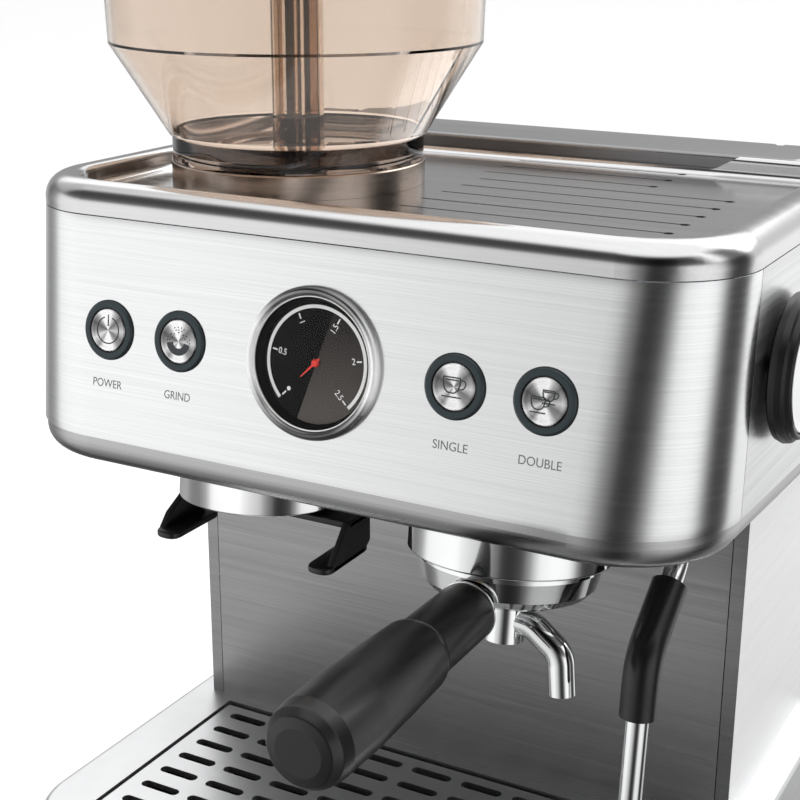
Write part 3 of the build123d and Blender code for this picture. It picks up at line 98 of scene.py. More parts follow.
# ---------------------------------------------------------------- materials
class Surface:
    """A node material with short calls for the nodes used here."""

    def __init__(self, name):
        self.material = bpy.data.materials.new(name)
        self.material.use_nodes = True
        self.tree = self.material.node_tree
        self.shader = self.tree.nodes["Principled BSDF"]

    def add(self, kind, **inputs):
        node = self.tree.nodes.new(kind)
        for key, value in inputs.items():
            node.inputs[key.replace("_", " ")].default_value = value
        return node

    def link(self, source, target):
        self.tree.links.new(source, target)

    def set(self, **values):
        """Sets constants on the shader."""
        for key, value in values.items():
            self.shader.inputs[key.replace("_", " ")].default_value = value

    def feed(self, **sockets):
        """Links sockets to the shader."""
        for key, socket in sockets.items():
            self.link(socket, self.shader.inputs[key.replace("_", " ")])

    def coordinate(self, source):
        return self.add("ShaderNodeTexCoord").outputs[source]

    def stretched(self, scale, source="Object"):
        """Texture coordinates stretched so that noise turns into streaks."""
        mapping = self.add("ShaderNodeMapping", Scale=scale)
        self.link(self.coordinate(source), mapping.inputs["Vector"])
        return mapping.outputs["Vector"]

    def part(self, vector, axis):
        """One of a vector's three parts."""
        node = self.add("ShaderNodeSeparateXYZ")
        self.link(vector, node.inputs[0])
        return node.outputs[axis]

    def noise(self, vector, scale, detail=3.0, roughness=0.6):
        node = self.add("ShaderNodeTexNoise", Scale=scale, Detail=detail, Roughness=roughness)
        self.link(vector, node.inputs["Vector"])
        return node.outputs["Fac"]

    def ramp(self, value, low, high, low_at=0.3, high_at=0.7):
        """Value turned into a level that is low at low_at and high at high_at."""
        node = self.add("ShaderNodeMapRange", From_Min=low_at, From_Max=high_at, To_Min=low, To_Max=high)
        self.link(value, node.inputs["Value"])
        return node.outputs["Result"]

    def mix(self, factor, first, second, blend="MIX"):
        """Mix of two colours; the factor and the colours are each a socket or plain numbers."""
        node = self.add("ShaderNodeMix")
        node.data_type = "RGBA"
        node.blend_type = blend
        for key, value in (("Factor", factor), ("A", first), ("B", second)):
            if isinstance(value, bpy.types.NodeSocket):
                self.link(value, node.inputs[key])
            elif isinstance(value, tuple):
                node.inputs[key].default_value = (*value, 1)
            else:
                node.inputs[key].default_value = value
        return node.outputs["Result"]

    def bump(self, height, strength, distance):
        """Fine relief, its distance in millimetres."""
        node = self.add("ShaderNodeBump", Strength=strength, Distance=distance * MM)
        self.link(height, node.inputs["Height"])
        self.feed(Normal=node.outputs["Normal"])

    def grain_along_run(self, amount):
        """Stretched gloss whose direction comes from the UV map named run."""
        self.set(Anisotropic=amount, Anisotropic_Rotation=0.25)
        tangent = self.add("ShaderNodeTangent")
        tangent.direction_type = "UV_MAP"
        tangent.uv_map = "run"
        self.feed(Tangent=tangent.outputs["Tangent"])


def shade(colour, factor):
    """Colour times a factor, up to full white."""
    return tuple(min(1.0, part * factor) for part in colour)


def brushed(name, colour, streak_scale, rough=(0.26, 0.4), source="Object", bump=0.06,
            anisotropy=0.0, contrast=0.07):
    """Brushed sheet metal: long fine streaks in colour, roughness and height."""
    surface = Surface(name)
    surface.set(Metallic=1.0)
    streaks = surface.noise(surface.stretched(streak_scale, source), 1.0, 4.0, 0.7)
    coarse_scale = tuple(part * 0.22 for part in streak_scale)
    coarse = surface.noise(surface.stretched(coarse_scale, source), 1.0, 2.0)
    tone = surface.mix(surface.ramp(streaks, 0, 1), shade(colour, 1 - contrast), shade(colour, 1 + contrast))
    surface.feed(Base_Color=tone, Roughness=surface.ramp(coarse, *rough))
    surface.bump(streaks, bump, 0.04)
    if anisotropy:
        surface.grain_along_run(anisotropy)
    return surface.material


def satin(name, colour, metallic, rough, grain=900.0, bump=0.05, spread=0.08, coat=0.0):
    """Even surface with fine grain, slow colour drift and patchy roughness."""
    surface = Surface(name)
    surface.set(Metallic=metallic)
    if coat:
        surface.set(Coat_Weight=coat, Coat_Roughness=0.08)
    place = surface.stretched((1, 1, 1))
    slow = surface.noise(place, 35.0, 3.0)
    tone = surface.mix(surface.ramp(slow, 0, 1), shade(colour, 1 - spread), shade(colour, 1 + spread))
    surface.feed(Base_Color=tone, Roughness=surface.ramp(slow, rough * 0.85, rough * 1.2))
    if bump:
        surface.bump(surface.noise(place, grain, 2.0), bump, 0.03)
    return surface.material


def clear(name, colour, rough=0.02, ior=1.49, smudge=0.05):
    """Clear or smoked plastic or glass, with faint handling marks in its gloss."""
    surface = Surface(name)
    surface.set(Transmission_Weight=1.0, IOR=ior)
    slow = surface.noise(surface.stretched((1, 1, 1)), 45.0, 4.0)
    surface.feed(Base_Color=surface.mix(surface.ramp(slow, 0, 1), shade(colour, 0.97), colour),
                 Roughness=surface.ramp(slow, rough, rough + smudge, 0.5, 0.9))
    return surface.material


def smoked_plastic(name, node, change_z, fade=0.5 * MM):
    """Smoked clear plastic, darker below the height where the wall turns thick, in metres."""
    surface = Surface(name)
    surface.set(Transmission_Weight=1.0, IOR=1.49)
    inverse = frame["nodes"][node].matrix_world.inverted()
    up = inverse.to_3x3() @ Vector((0, 0, 1))
    level = (inverse @ Vector((0, 0, change_z))).dot(up) / up.length_squared
    height = surface.add("ShaderNodeVectorMath")
    height.operation = "DOT_PRODUCT"
    height.inputs[1].default_value = up / up.length_squared
    surface.link(surface.coordinate("Object"), height.inputs[0])
    share = surface.ramp(height.outputs["Value"], 0, 1, level - fade, level + fade)
    slow = surface.noise(surface.stretched((1, 1, 1)), 45.0, 4.0)
    surface.feed(Base_Color=surface.mix(share, (0.3, 0.235, 0.195), (0.83, 0.74, 0.665)),
                 Roughness=surface.ramp(slow, 0.01, 0.06, 0.5, 0.9))
    return surface.material


def painted_levels_around(surface, levels):
    """Painted light and shade levels by share of a turn round the piece's own axis, joined smoothly."""
    ramp = surface.add("ShaderNodeValToRGB")
    stops = ramp.color_ramp.elements
    while len(stops) > 1:
        stops.remove(stops[-1])
    for index, (spot, level) in enumerate(levels):
        stop = stops[0] if index == 0 else stops.new(spot)
        stop.position = spot
        stop.color = (level, level, level, 1)
    surface.link(surface.part(surface.coordinate("UV"), "X"), ramp.inputs["Fac"])
    return ramp.outputs["Color"]


def spun_with_painted_fans(name, colour, levels, rough=0.24, rings=5200.0):
    """Turned metal: fine rings about the piece's own axis, with painted highlight and painted shade sectors across
    them in its colour.
    """
    surface = Surface(name)
    streaks = surface.noise(surface.stretched((4.0, rings, 1), "UV"), 1.0, 3.0, 0.65)
    painted_fans = painted_levels_around(surface, levels)
    tone = surface.mix(surface.ramp(streaks, 0, 1), shade(colour, 0.9), colour)
    # Painted reflection: colour and metalness follow the painted light and dark sectors round the axis.
    surface.feed(Base_Color=surface.mix(1.0, tone, painted_fans, "MULTIPLY"),
                 Metallic=surface.ramp(painted_fans, 1.0, 0.45, 0.3, 1.0),
                 Roughness=surface.ramp(streaks, rough * 0.8, rough * 1.25))
    surface.bump(streaks, 0.05, 0.03)
    surface.grain_along_run(0.8)
    return surface.material


def banded_painted_light(name, levels, rough, painted_darkest):
    """Satin metal with soft painted highlight and painted shade bands round its axis."""
    surface = Surface(name)
    level = painted_levels_around(surface, levels)
    smudge = surface.noise(surface.stretched((1, 1, 1)), 60.0, 3.0)
    # Painted reflection: colour runs from the painted dark to pale by the level round the axis.
    surface.feed(Base_Color=surface.mix(level, (painted_darkest,) * 3, (0.93, 0.93, 0.935)),
                 Metallic=surface.ramp(level, 1.0, 0.2, 0.2, 1.0),
                 Roughness=surface.ramp(smudge, rough * 0.8, rough * 1.3))
    return surface.material


def column_sheet():
    """Brushed column side with painted light and shade by facing: lit and shaded copies of one steel, pale on the
    wide face and dark on the front-facing strip.
    """
    surface = Surface("column_sheet")
    streaks = surface.noise(surface.stretched((12.0, 12.0, 2200.0)), 1.0, 4.0, 0.7)
    coarse = surface.noise(surface.stretched((3.0, 3.0, 480.0)), 1.0, 2.0)
    # Painted shade: faces turned to the front get a dark copy of the steel, the others a pale lit copy.
    normal = surface.add("ShaderNodeNewGeometry").outputs["Normal"]
    front_facing_shade_mask = surface.ramp(surface.part(normal, "Y"), 1.0, 0.0, -0.9, -0.6)
    streak_share = surface.ramp(streaks, 0, 1)
    painted_lit_face = surface.mix(streak_share, (0.86, 0.86, 0.865), (0.97, 0.97, 0.975))
    painted_shaded_flange = surface.mix(streak_share, (0.3, 0.3, 0.305), (0.38, 0.38, 0.385))
    surface.feed(Base_Color=surface.mix(front_facing_shade_mask, painted_lit_face, painted_shaded_flange), Roughness=surface.ramp(coarse, 0.3, 0.42),
                 Metallic=surface.ramp(front_facing_shade_mask, 0.35, 1.0, 0.0, 1.0))
    surface.bump(streaks, 0.06, 0.04)
    return surface.material


def turned_chrome(name, degrees, rough=0.06):
    """Polished metal whose shading normal is turned about the upright, as on a formed ring."""
    surface = Surface(name)
    surface.set(Metallic=1.0)
    smudge = surface.noise(surface.stretched((1, 1, 1)), 60.0, 3.0)
    turn = surface.add("ShaderNodeVectorRotate", Axis=(0, 0, 1), Angle=math.radians(degrees))
    surface.link(surface.add("ShaderNodeNewGeometry").outputs["Normal"], turn.inputs["Vector"])
    surface.feed(Base_Color=surface.mix(smudge, (0.86, 0.86, 0.865), (0.95, 0.95, 0.955)),
                 Roughness=surface.ramp(smudge, rough * 0.8, rough * 1.4), Normal=turn.outputs["Vector"])
    return surface.material


def dial_painted_sheen():
    """Painted sheen on one half of the dial: a lighter colour that fades out towards the top."""
    surface = Surface("dial_painted_sheen")
    surface.set(Roughness=0.5, Specular_IOR_Level=DIAL_SPECULAR)
    level = surface.add("ShaderNodeMath")
    level.operation = "MULTIPLY_ADD"
    level.inputs[1].default_value = 0.04
    surface.link(surface.noise(surface.coordinate("Object"), 260.0), level.inputs[0])
    height = surface.part(surface.coordinate("Generated"), "Z")
    surface.link(surface.ramp(height, 1.0, 0.0, 0.0, 0.95), level.inputs[2])
    # Painted sheen: the dark dial colour is lightened by a level that fades towards the top.
    surface.feed(Base_Color=surface.mix(level.outputs[0], (0.014, 0.012, 0.012), (0.105, 0.094, 0.086)))
    return surface.material


STEEL = (0.83, 0.835, 0.84)
HOPPER_KINK = 23.8                    # millimetres above the top seam
DIAL_SPECULAR = 0.06

# Painted light and shade round a turned piece, as (share of a turn, level): painted reflection sectors on the caps
# and painted reflection bands on the bezel.
CAP_PAINTED_FANS = ((0.0, 0.6), (0.05, 0.35), (0.12, 0.16), (0.18, 0.5), (0.22, 1.0), (0.33, 1.0), (0.38, 0.35),
            (0.44, 0.13), (0.52, 0.3), (0.59, 0.8), (0.66, 0.35), (0.71, 1.0), (0.81, 1.0), (0.87, 0.3),
            (0.93, 0.2), (1.0, 0.6))
BEZEL_PAINTED_LEVELS = ((0.0, 1.0), (0.06, 0.9), (0.14, 0.3), (0.25, 0.17), (0.36, 0.35), (0.43, 1.0), (0.55, 1.0),
                (0.62, 0.5), (0.7, 0.12), (0.82, 0.08), (0.9, 0.4), (0.95, 1.0), (1.0, 1.0))

PANEL_STEEL = brushed("panel_steel", STEEL, (9.0, 2400.0, 1.0), (0.2, 0.27), "UV", 0.05, 0.7, 0.07)
SIDE_STEEL = brushed("side_steel", STEEL, (2600.0, 14.0, 2600.0), (0.28, 0.4))
BASE_STEEL = brushed("base_steel", (0.74, 0.745, 0.75), (12.0, 12.0, 2400.0), (0.3, 0.42))
BACK_STEEL = brushed("back_steel", (0.4, 0.4, 0.405), (10.0, 2200.0, 1500.0), (0.34, 0.46), bump=0.12,
                     contrast=0.14)
PAN_STEEL = brushed("pan_steel", (0.5, 0.5, 0.505), (12.0, 12.0, 2000.0), (0.24, 0.36))
COVER_STEEL = brushed("cover_steel", (0.66, 0.66, 0.665), (20.0, 900.0, 900.0), (0.13, 0.18), bump=0.02,
                      contrast=0.03)
SIDE_SHEET = column_sheet()
INNER_STEEL = satin("inner_steel", (0.5, 0.5, 0.51), 1.0, 0.45)
CHROME = satin("chrome", (0.86, 0.865, 0.87), 1.0, 0.07, 300.0, 0.01, 0.02)
OUTLET_CHROME = turned_chrome("outlet_chrome", -20.0)
# Button caps carry painted reflection sectors in their colour.
CAP_METAL = spun_with_painted_fans("cap_metal_painted_fans", (1.0, 1.0, 1.0), CAP_PAINTED_FANS)
RING_METAL = satin("ring_metal", (0.03, 0.043, 0.048), 0.45, 0.36)
BEZEL_PAINTED_BANDS = banded_painted_light("bezel_metal_painted_bands", BEZEL_PAINTED_LEVELS, 0.2, 0.03)
SMOKED = clear("smoked", (0.8, 0.69, 0.6), 0.01)
SMOKED_HOPPER = smoked_plastic("smoked_hopper", "bean_hopper", SEAM_Z + HOPPER_KINK * MM)
BRONZE = brushed("bronze", (0.44, 0.36, 0.305), (40.0, 40.0, 1800.0), (0.14, 0.22), bump=0.03)
BLACK_PLASTIC = satin("black_plastic", (0.012, 0.012, 0.013), 0.0, 0.3, 1500.0, 0.12)
BLACK_RUBBER = satin("black_rubber", (0.007, 0.007, 0.0075), 0.0, 0.34, 2200.0, 0.1, coat=0.08)
LID_PLASTIC = brushed("lid_grey", (0.3, 0.3, 0.305), (12.0, 900.0, 900.0), (0.3, 0.4), bump=0.03)
TANK_PLASTIC = clear("tank_smoke", (0.36, 0.37, 0.39), 0.05)
DIAL_BLACK = satin("dial_black", (0.006, 0.006, 0.0065), 0.0, 0.5, 300.0, 0.0, 0.3)
DIAL_BLACK.node_tree.nodes["Principled BSDF"].inputs["Specular IOR Level"].default_value = DIAL_SPECULAR
DIAL_PAINTED_SHEEN = dial_painted_sheen()
GLASS = clear("gauge_glass", (1.0, 1.0, 1.0), 0.0, 1.12, 0.004)
NEEDLE_RED = satin("needle_red", (0.75, 0.035, 0.02), 0.0, 0.3)
STAINLESS = satin("stainless", (0.7, 0.7, 0.71), 1.0, 0.22)
BRASS = satin("brass", (0.68, 0.5, 0.24), 1.0, 0.28)
BURR_STEEL = satin("burr_steel", (0.34, 0.34, 0.35), 1.0, 0.35, 600.0, 0.2)
CAST_METAL = satin("cast_aluminium", (0.62, 0.62, 0.63), 1.0, 0.5, 500.0, 0.5)
MOTOR_METAL = satin("motor_metal", (0.3, 0.3, 0.32), 1.0, 0.4)
BOARD_GREEN = satin("board_green", (0.02, 0.16, 0.06), 0.0, 0.4)
PRINT_WHITE = satin("print_white", (0.85, 0.85, 0.84), 0.0, 0.5)
PRINT_GREY = satin("print_grey", (0.16, 0.16, 0.165), 0.0, 0.45)
ENGRAVED = satin("engraved", (0.05, 0.055, 0.06), 0.4, 0.45)
# Near-black colour painted as shade in gaps between parts.
GAP_PAINTED_SHADE = satin("painted_gap_shade", (0.012, 0.012, 0.012), 0.0, 0.6)

SLOT_MATERIALS = {
    "brushed_steel": SIDE_STEEL, "cover_steel": COVER_STEEL, "dark_steel": BACK_STEEL,
    "inner_steel": INNER_STEEL, "chrome": CHROME, "button_cap": CAP_METAL, "button_ring": RING_METAL,
    "smoked_plastic": SMOKED, "bronze_ring": BRONZE, "black_plastic": BLACK_PLASTIC,
    "black_rubber": BLACK_RUBBER, "lid_plastic": LID_PLASTIC, "tank_plastic": TANK_PLASTIC,
    "gauge_face": DIAL_BLACK, "gauge_glass": GLASS, "needle_red": NEEDLE_RED, "stainless": STAINLESS,
    "brass": BRASS, "burr_steel": BURR_STEEL, "cast_aluminium": CAST_METAL, "motor_steel": MOTOR_METAL,
    "board": BOARD_GREEN,
}
NODE_MATERIALS = {
    "head_bottom_pan": PAN_STEEL, "base_shell": BASE_STEEL, "drip_tray_front": BASE_STEEL,
    "drip_grid": BASE_STEEL, "side_panel_left": SIDE_SHEET, "side_panel_right": SIDE_SHEET,
    "bean_hopper": SMOKED_HOPPER, "tank_valve": BLACK_PLASTIC, "tank_socket": BLACK_PLASTIC,
}
for entry in frame["record"]["subparts"]:
    cad_node = frame["nodes"][entry["node"]]
    finish = NODE_MATERIALS.get(entry["node"], SLOT_MATERIALS[entry["material_slot"]])
    for material_slot in cad_node.material_slots:
        material_slot.link = "OBJECT"
        material_slot.material = finish


# ---------------------------------------------------------------- mesh helpers
def new_piece(name, mesh, material, body):
    """Object for a finished mesh, riding on a body, with the material it is given."""
    piece = bpy.data.objects.new(name, mesh)
    bpy.context.scene.collection.objects.link(piece)
    mesh.materials.append(material)
    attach(piece, body)
    return piece


def applied(piece):
    """Replaces a piece's mesh by its modified one."""
    bpy.context.view_layer.update()
    done = bpy.data.meshes.new_from_object(piece.evaluated_get(bpy.context.evaluated_depsgraph_get()))
    piece.modifiers.clear()
    piece.data = done
    return piece


def add_bevel(piece, width, segments):
    """Rounds a piece's edges by a width in millimetres, once its modifiers are applied."""
    edge = piece.modifiers.new("edge", "BEVEL")
    edge.width = width * MM
    edge.segments = segments
    edge.limit_method = "ANGLE"
    edge.angle_limit = math.radians(50)


def heading(degrees):
    """Unit step in a plane, at an angle from its right-hand direction."""
    angle = math.radians(degrees)
    return Vector((math.cos(angle), math.sin(angle)))


def soften(points, radius, steps=4, closed=False):
    """Polyline with each corner turned into a short arc."""
    result = []
    count = len(points)
    for index, point in enumerate(points):
        here = Vector(point)
        if not closed and index in (0, count - 1):
            result.append(here)
            continue
        before = Vector(points[index - 1]) - here
        after = Vector(points[(index + 1) % count]) - here
        if before.length < 1e-9 or after.length < 1e-9:
            continue
        turn = math.pi - before.angle(after)
        if turn < 0.03:
            result.append(here)
            continue
        reach = min(radius * math.tan(turn / 2), 0.45 * before.length, 0.45 * after.length)
        start = here + before.normalized() * reach
        end = here + after.normalized() * reach
        for step in range(steps + 1):
            t = step / steps
            result.append(start * (1 - t) ** 2 + here * 2 * t * (1 - t) + end * t * t)
    return result


def lathe(name, profile, place, segments=96, closed=True):
    """Turned mesh from (radius, height) points in millimetres, with a UV map that runs round the axis."""
    mesh = bpy.data.meshes.new(name)
    build = bmesh.new()
    uv = build.loops.layers.uv.new("run")
    lengths = [0.0]
    for first, second in zip(profile, profile[1:]):
        lengths.append(lengths[-1] + (Vector(second) - Vector(first)).length)
    rings = []
    for radius, height in profile:
        if radius < 1e-6:
            rings.append([build.verts.new(place @ Vector((0, 0, height * MM)))] * segments)
            continue
        ring = []
        for k in range(segments):
            angle = 2 * math.pi * k / segments
            local = Vector((radius * math.cos(angle), radius * math.sin(angle), height)) * MM
            ring.append(build.verts.new(place @ local))
        rings.append(ring)
    spans = [(row, row + 1) for row in range(len(profile) - 1)]
    if closed:
        spans.append((len(profile) - 1, 0))
    for low, high in spans:
        for k in range(segments):
            after = (k + 1) % segments
            corners = [(rings[low][k], k, low), (rings[low][after], k + 1, low),
                       (rings[high][after], k + 1, high), (rings[high][k], k, high)]
            unique = []
            for corner in corners:
                if corner[0] not in [known[0] for known in unique]:
                    unique.append(corner)
            if len(unique) < 3:
                continue
            face = build.faces.new([corner[0] for corner in unique])
            face.smooth = True
            for loop, (_, turn, row) in zip(face.loops, unique):
                loop[uv].uv = (turn / segments, lengths[row] * MM)
    bmesh.ops.recalc_face_normals(build, faces=build.faces)
    build.to_mesh(mesh)
    build.free()
    mesh.set_sharp_from_angle(angle=math.radians(38))
    return mesh


def slab_mesh(name, slabs):
    """Mesh of flat slabs; each is a matrix, a closed outline and a thickness, in millimetres."""
    mesh = bpy.data.meshes.new(name)
    build = bmesh.new()
    for place, points, thickness in slabs:
        low = [build.verts.new(place @ (Vector((x, y, 0)) * MM)) for x, y in points]
        high = [build.verts.new(place @ (Vector((x, y, thickness)) * MM)) for x, y in points]
        build.faces.new(high)
        build.faces.new(low[::-1])
        for k in range(len(points)):
            after = (k + 1) % len(points)
            build.faces.new((low[k], low[after], high[after], high[k]))
    bmesh.ops.recalc_face_normals(build, faces=build.faces)
    build.to_mesh(mesh)
    build.free()
    return mesh


def strip_mesh(name, outlines, place, thickness):
    """Flat shapes lying on one plane, with a little thickness."""
    return slab_mesh(name, [(place, points, thickness) for points in outlines])


def rounded_solid(name, slabs, material, body, bevel=0.8):
    """Piece made of slabs with rounded edges."""
    piece = new_piece(name, slab_mesh(name, slabs), material, body)
    add_bevel(piece, bevel, 4)
    applied(piece)
    for face in piece.data.polygons:
        face.use_smooth = True
    piece.data.set_sharp_from_angle(angle=math.radians(35))
    return piece


def arc_band(radius_in, radius_out, start, end, steps=64):
    """Closed outline of a ring piece between two angles in degrees."""
    directions = [heading(start + (end - start) * k / steps) for k in range(steps + 1)]
    outer = [tuple(direction * radius_out) for direction in directions]
    inner = [tuple(direction * radius_in) for direction in directions]
    return outer + inner[::-1]


def dot(centre, radius, sides):
    """Closed outline of a small round mark."""
    return [tuple(Vector(centre) + heading(360 * k / sides) * radius) for k in range(sides)]


def half_disc(radius, tilt, steps=48):
    """Right-hand half of a disc cut along a line through its centre at the given angle."""
    return [tuple(heading(tilt - 180 * k / steps) * radius) for k in range(steps + 1)]


def stroke(points, width):
    """Closed outline round an open line of the given width."""
    left, right = [], []
    for k, point in enumerate(points):
        ahead = Vector(points[min(k + 1, len(points) - 1)]) - Vector(points[max(k - 1, 0)])
        side = Vector((-ahead.y, ahead.x)).normalized() * width / 2
        left.append(tuple(Vector(point) + side))
        right.append(tuple(Vector(point) - side))
    return left + right[::-1]


def lettering(name, text, size, place, material, body, width=1.0, angle=0.0):
    """Thin printed text, centred on its place."""
    curve = bpy.data.curves.new(name, "FONT")
    curve.body = text
    curve.size = size * MM
    curve.extrude = 0.03 * MM
    curve.align_x = "CENTER"
    curve.align_y = "CENTER"
    maker = bpy.data.objects.new(name, curve)
    bpy.context.scene.collection.objects.link(maker)
    bpy.context.view_layer.update()
    mesh = bpy.data.meshes.new_from_object(maker.evaluated_get(bpy.context.evaluated_depsgraph_get()))
    bpy.data.objects.remove(maker)
    turn = Matrix.Rotation(math.radians(angle), 4, "Z") @ Matrix.Diagonal((width, 1, 1, 1))
    mesh.transform(place @ turn)
    mesh.materials.clear()
    mesh.name = name
    return new_piece(name, mesh, material, body)


def turned(name, profile, place, material, body, segments=96, closed=True):
    """Turned piece of a body."""
    return new_piece(name, lathe(name, profile, place, segments, closed), material, body)


# ---------------------------------------------------------------- front panel
TOP_CORNER, FOOT_CORNER = 38.4, 46.0
WRAP_TOP, WRAP_FOOT = 38.6, 34.3
PANEL_DROP = 86.6
SHEET, SHEET_EDGE = 1.5, 0.35
UNDERSIDE = math.tan(math.radians(2.8))
BUTTONS = {"power": -94.3, "grind": -60.2, "single": 57.8, "double": 92.0}
BUTTON_HOLE, GAUGE_HOLE = 9.1, 25.9
CONTROL_LINE = (GAUGE_CENTRE - Vector((MIDDLE_X, SEAM_Y, SEAM_Z))).dot(PANEL_DOWN) / MM
PANEL_FOOT = -PANEL_DROP * math.tan(math.asin(PANEL_NORMAL.z))


def panel_outline(front, corner, wrap, along=28, round_steps=26, side_steps=3):
    """Plan line of the panel from its left end round the front to its right end."""
    half = HALF_WIDTH / MM
    line = [(-half, wrap + (front + corner - wrap) * k / side_steps) for k in range(side_steps)]
    for k in range(round_steps):
        angle = math.pi + math.pi / 2 * k / round_steps
        line.append((-half + corner + corner * math.cos(angle), front + corner + corner * math.sin(angle)))
    line += [(-half + corner + (2 * half - 2 * corner) * k / along, front) for k in range(along)]
    for k in range(round_steps):
        angle = -math.pi / 2 + math.pi / 2 * k / round_steps
        line.append((half - corner + corner * math.cos(angle), front + corner + corner * math.sin(angle)))
    line += [(half, front + corner + (wrap - front - corner) * k / side_steps) for k in range(side_steps + 1)]
    return line


def panel_skin(rows=24):
    """Outer skin of the panel, with a UV map that runs along the sheet."""
    top = panel_outline(0.0, TOP_CORNER, WRAP_TOP)
    foot = panel_outline(PANEL_FOOT, FOOT_CORNER, WRAP_FOOT)
    mesh = bpy.data.meshes.new("front_panel")
    build = bmesh.new()
    uv = build.loops.layers.uv.new("run")
    run = [0.0]
    for first, second in zip(top, top[1:]):
        run.append(run[-1] + (Vector(second) - Vector(first)).length)
    grid = []
    for row in range(rows + 1):
        share = row / rows
        line = []
        for (x0, y0), (x1, y1) in zip(top, foot):
            x, y = x0 + (x1 - x0) * share, y0 + (y1 - y0) * share
            z = (-PANEL_DROP - (y1 - PANEL_FOOT) * UNDERSIDE) * share
            line.append(build.verts.new(seam_point(x, y, z)))
        grid.append(line)
    for row in range(rows):
        for column in range(len(top) - 1):
            corners = ((row, column), (row + 1, column), (row + 1, column + 1), (row, column + 1))
            face = build.faces.new([grid[r][c] for r, c in corners])
            face.smooth = True
            for loop, (r, c) in zip(face.loops, corners):
                loop[uv].uv = (run[c] * MM, -r / rows * PANEL_DROP * MM)
    build.to_mesh(mesh)
    build.free()
    return mesh


def cut_holes(piece, holes):
    """Cuts round holes in the panel, each given as millimetres right of its middle and a radius."""
    cutters = []
    for x, radius in holes:
        outline = [(0, -9), (radius, -9), (radius, 6), (0, 6)]
        shape = lathe("cutter", outline, panel_place(x, CONTROL_LINE), 72, closed=False)
        cutter = bpy.data.objects.new("cutter", shape)
        bpy.context.scene.collection.objects.link(cutter)
        cutters.append(cutter)
        cut = piece.modifiers.new("hole", "BOOLEAN")
        cut.operation = "DIFFERENCE"
        cut.object = cutter
        cut.solver = "EXACT"
    applied(piece)
    for cutter in cutters:
        bpy.data.objects.remove(cutter)


def front_panel():
    piece = new_piece("front_panel", panel_skin(), PANEL_STEEL, "frame")
    wall = piece.modifiers.new("wall", "SOLIDIFY")
    wall.thickness = SHEET * MM
    wall.offset = -1
    wall.use_even_offset = True
    add_bevel(piece, SHEET_EDGE, 3)
    cut_holes(piece, [(x, BUTTON_HOLE) for x in BUTTONS.values()] + [(0.0, GAUGE_HOLE)])
    piece.data.set_sharp_from_angle(angle=math.radians(30))
    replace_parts(piece, "head_front_panel")


front_panel()

# ---------------------------------------------------------------- buttons
CAP_RADIUS, CAP_PROUD, CAP_DISH = 8.4, 1.4, 0.45
RING_RADIUS, RING_BORE, RING_PROUD = 11.6, 8.65, 1.2
LABEL_LINE, LABEL_SIZE = 65.0, 4.6
LABEL_WIDTHS = {"power": 0.9, "grind": 0.87, "single": 0.94, "double": 0.93}


def power_mark():
    return [arc_band(5.0, 5.45, 110, 430), stroke([(0, 1.6), (0, 6.2)], 0.45)]


def grind_mark():
    """Half-round bowl under a heap of grounds, given as (radius, angles) rows."""
    heap = ((5.2, (62, 78, 94, 112, 10, -4, 168, 182)), (4.2, (70, 90, 108, 30, 150, 2, 178)),
            (3.2, (50, 90, 130, 20, 160)))
    grounds = [dot(heading(angle) * radius + Vector((0, 0.3)), 0.27, 8)
               for radius, angles in heap for angle in angles]
    return [arc_band(2.7, 5.4, 190, 350, 40)] + grounds


def cup_mark(x, y, size):
    """Side view of a cup with its handle and saucer."""
    bowl = [(-2.9, 2.2), (-2.9, 0.6), (-2.5, -1.0), (-1.4, -2.0), (0.6, -2.0), (1.7, -1.0), (2.1, 0.6),
            (2.1, 2.2)]
    ear = [(2.2, 1.6), (3.4, 1.7), (3.9, 0.7), (3.3, -0.5), (2.1, -0.9)]
    lines = [soften(bowl, 1.2), soften(ear, 0.8), [(-2.9, 2.2), (2.1, 2.2)], [(-2.4, 1.5), (1.6, 1.5)],
             [(-3.1, -3.1), (2.6, -3.1)]]
    return [stroke([(x + across * size, y + up * size) for across, up in line], 0.42) for line in lines]


MARKS = {"power": power_mark(), "grind": grind_mark(), "single": cup_mark(-0.4, 0.4, 1.3),
         "double": cup_mark(-1.9, -0.9, 1.0) + cup_mark(1.7, 2.1, 0.85)}


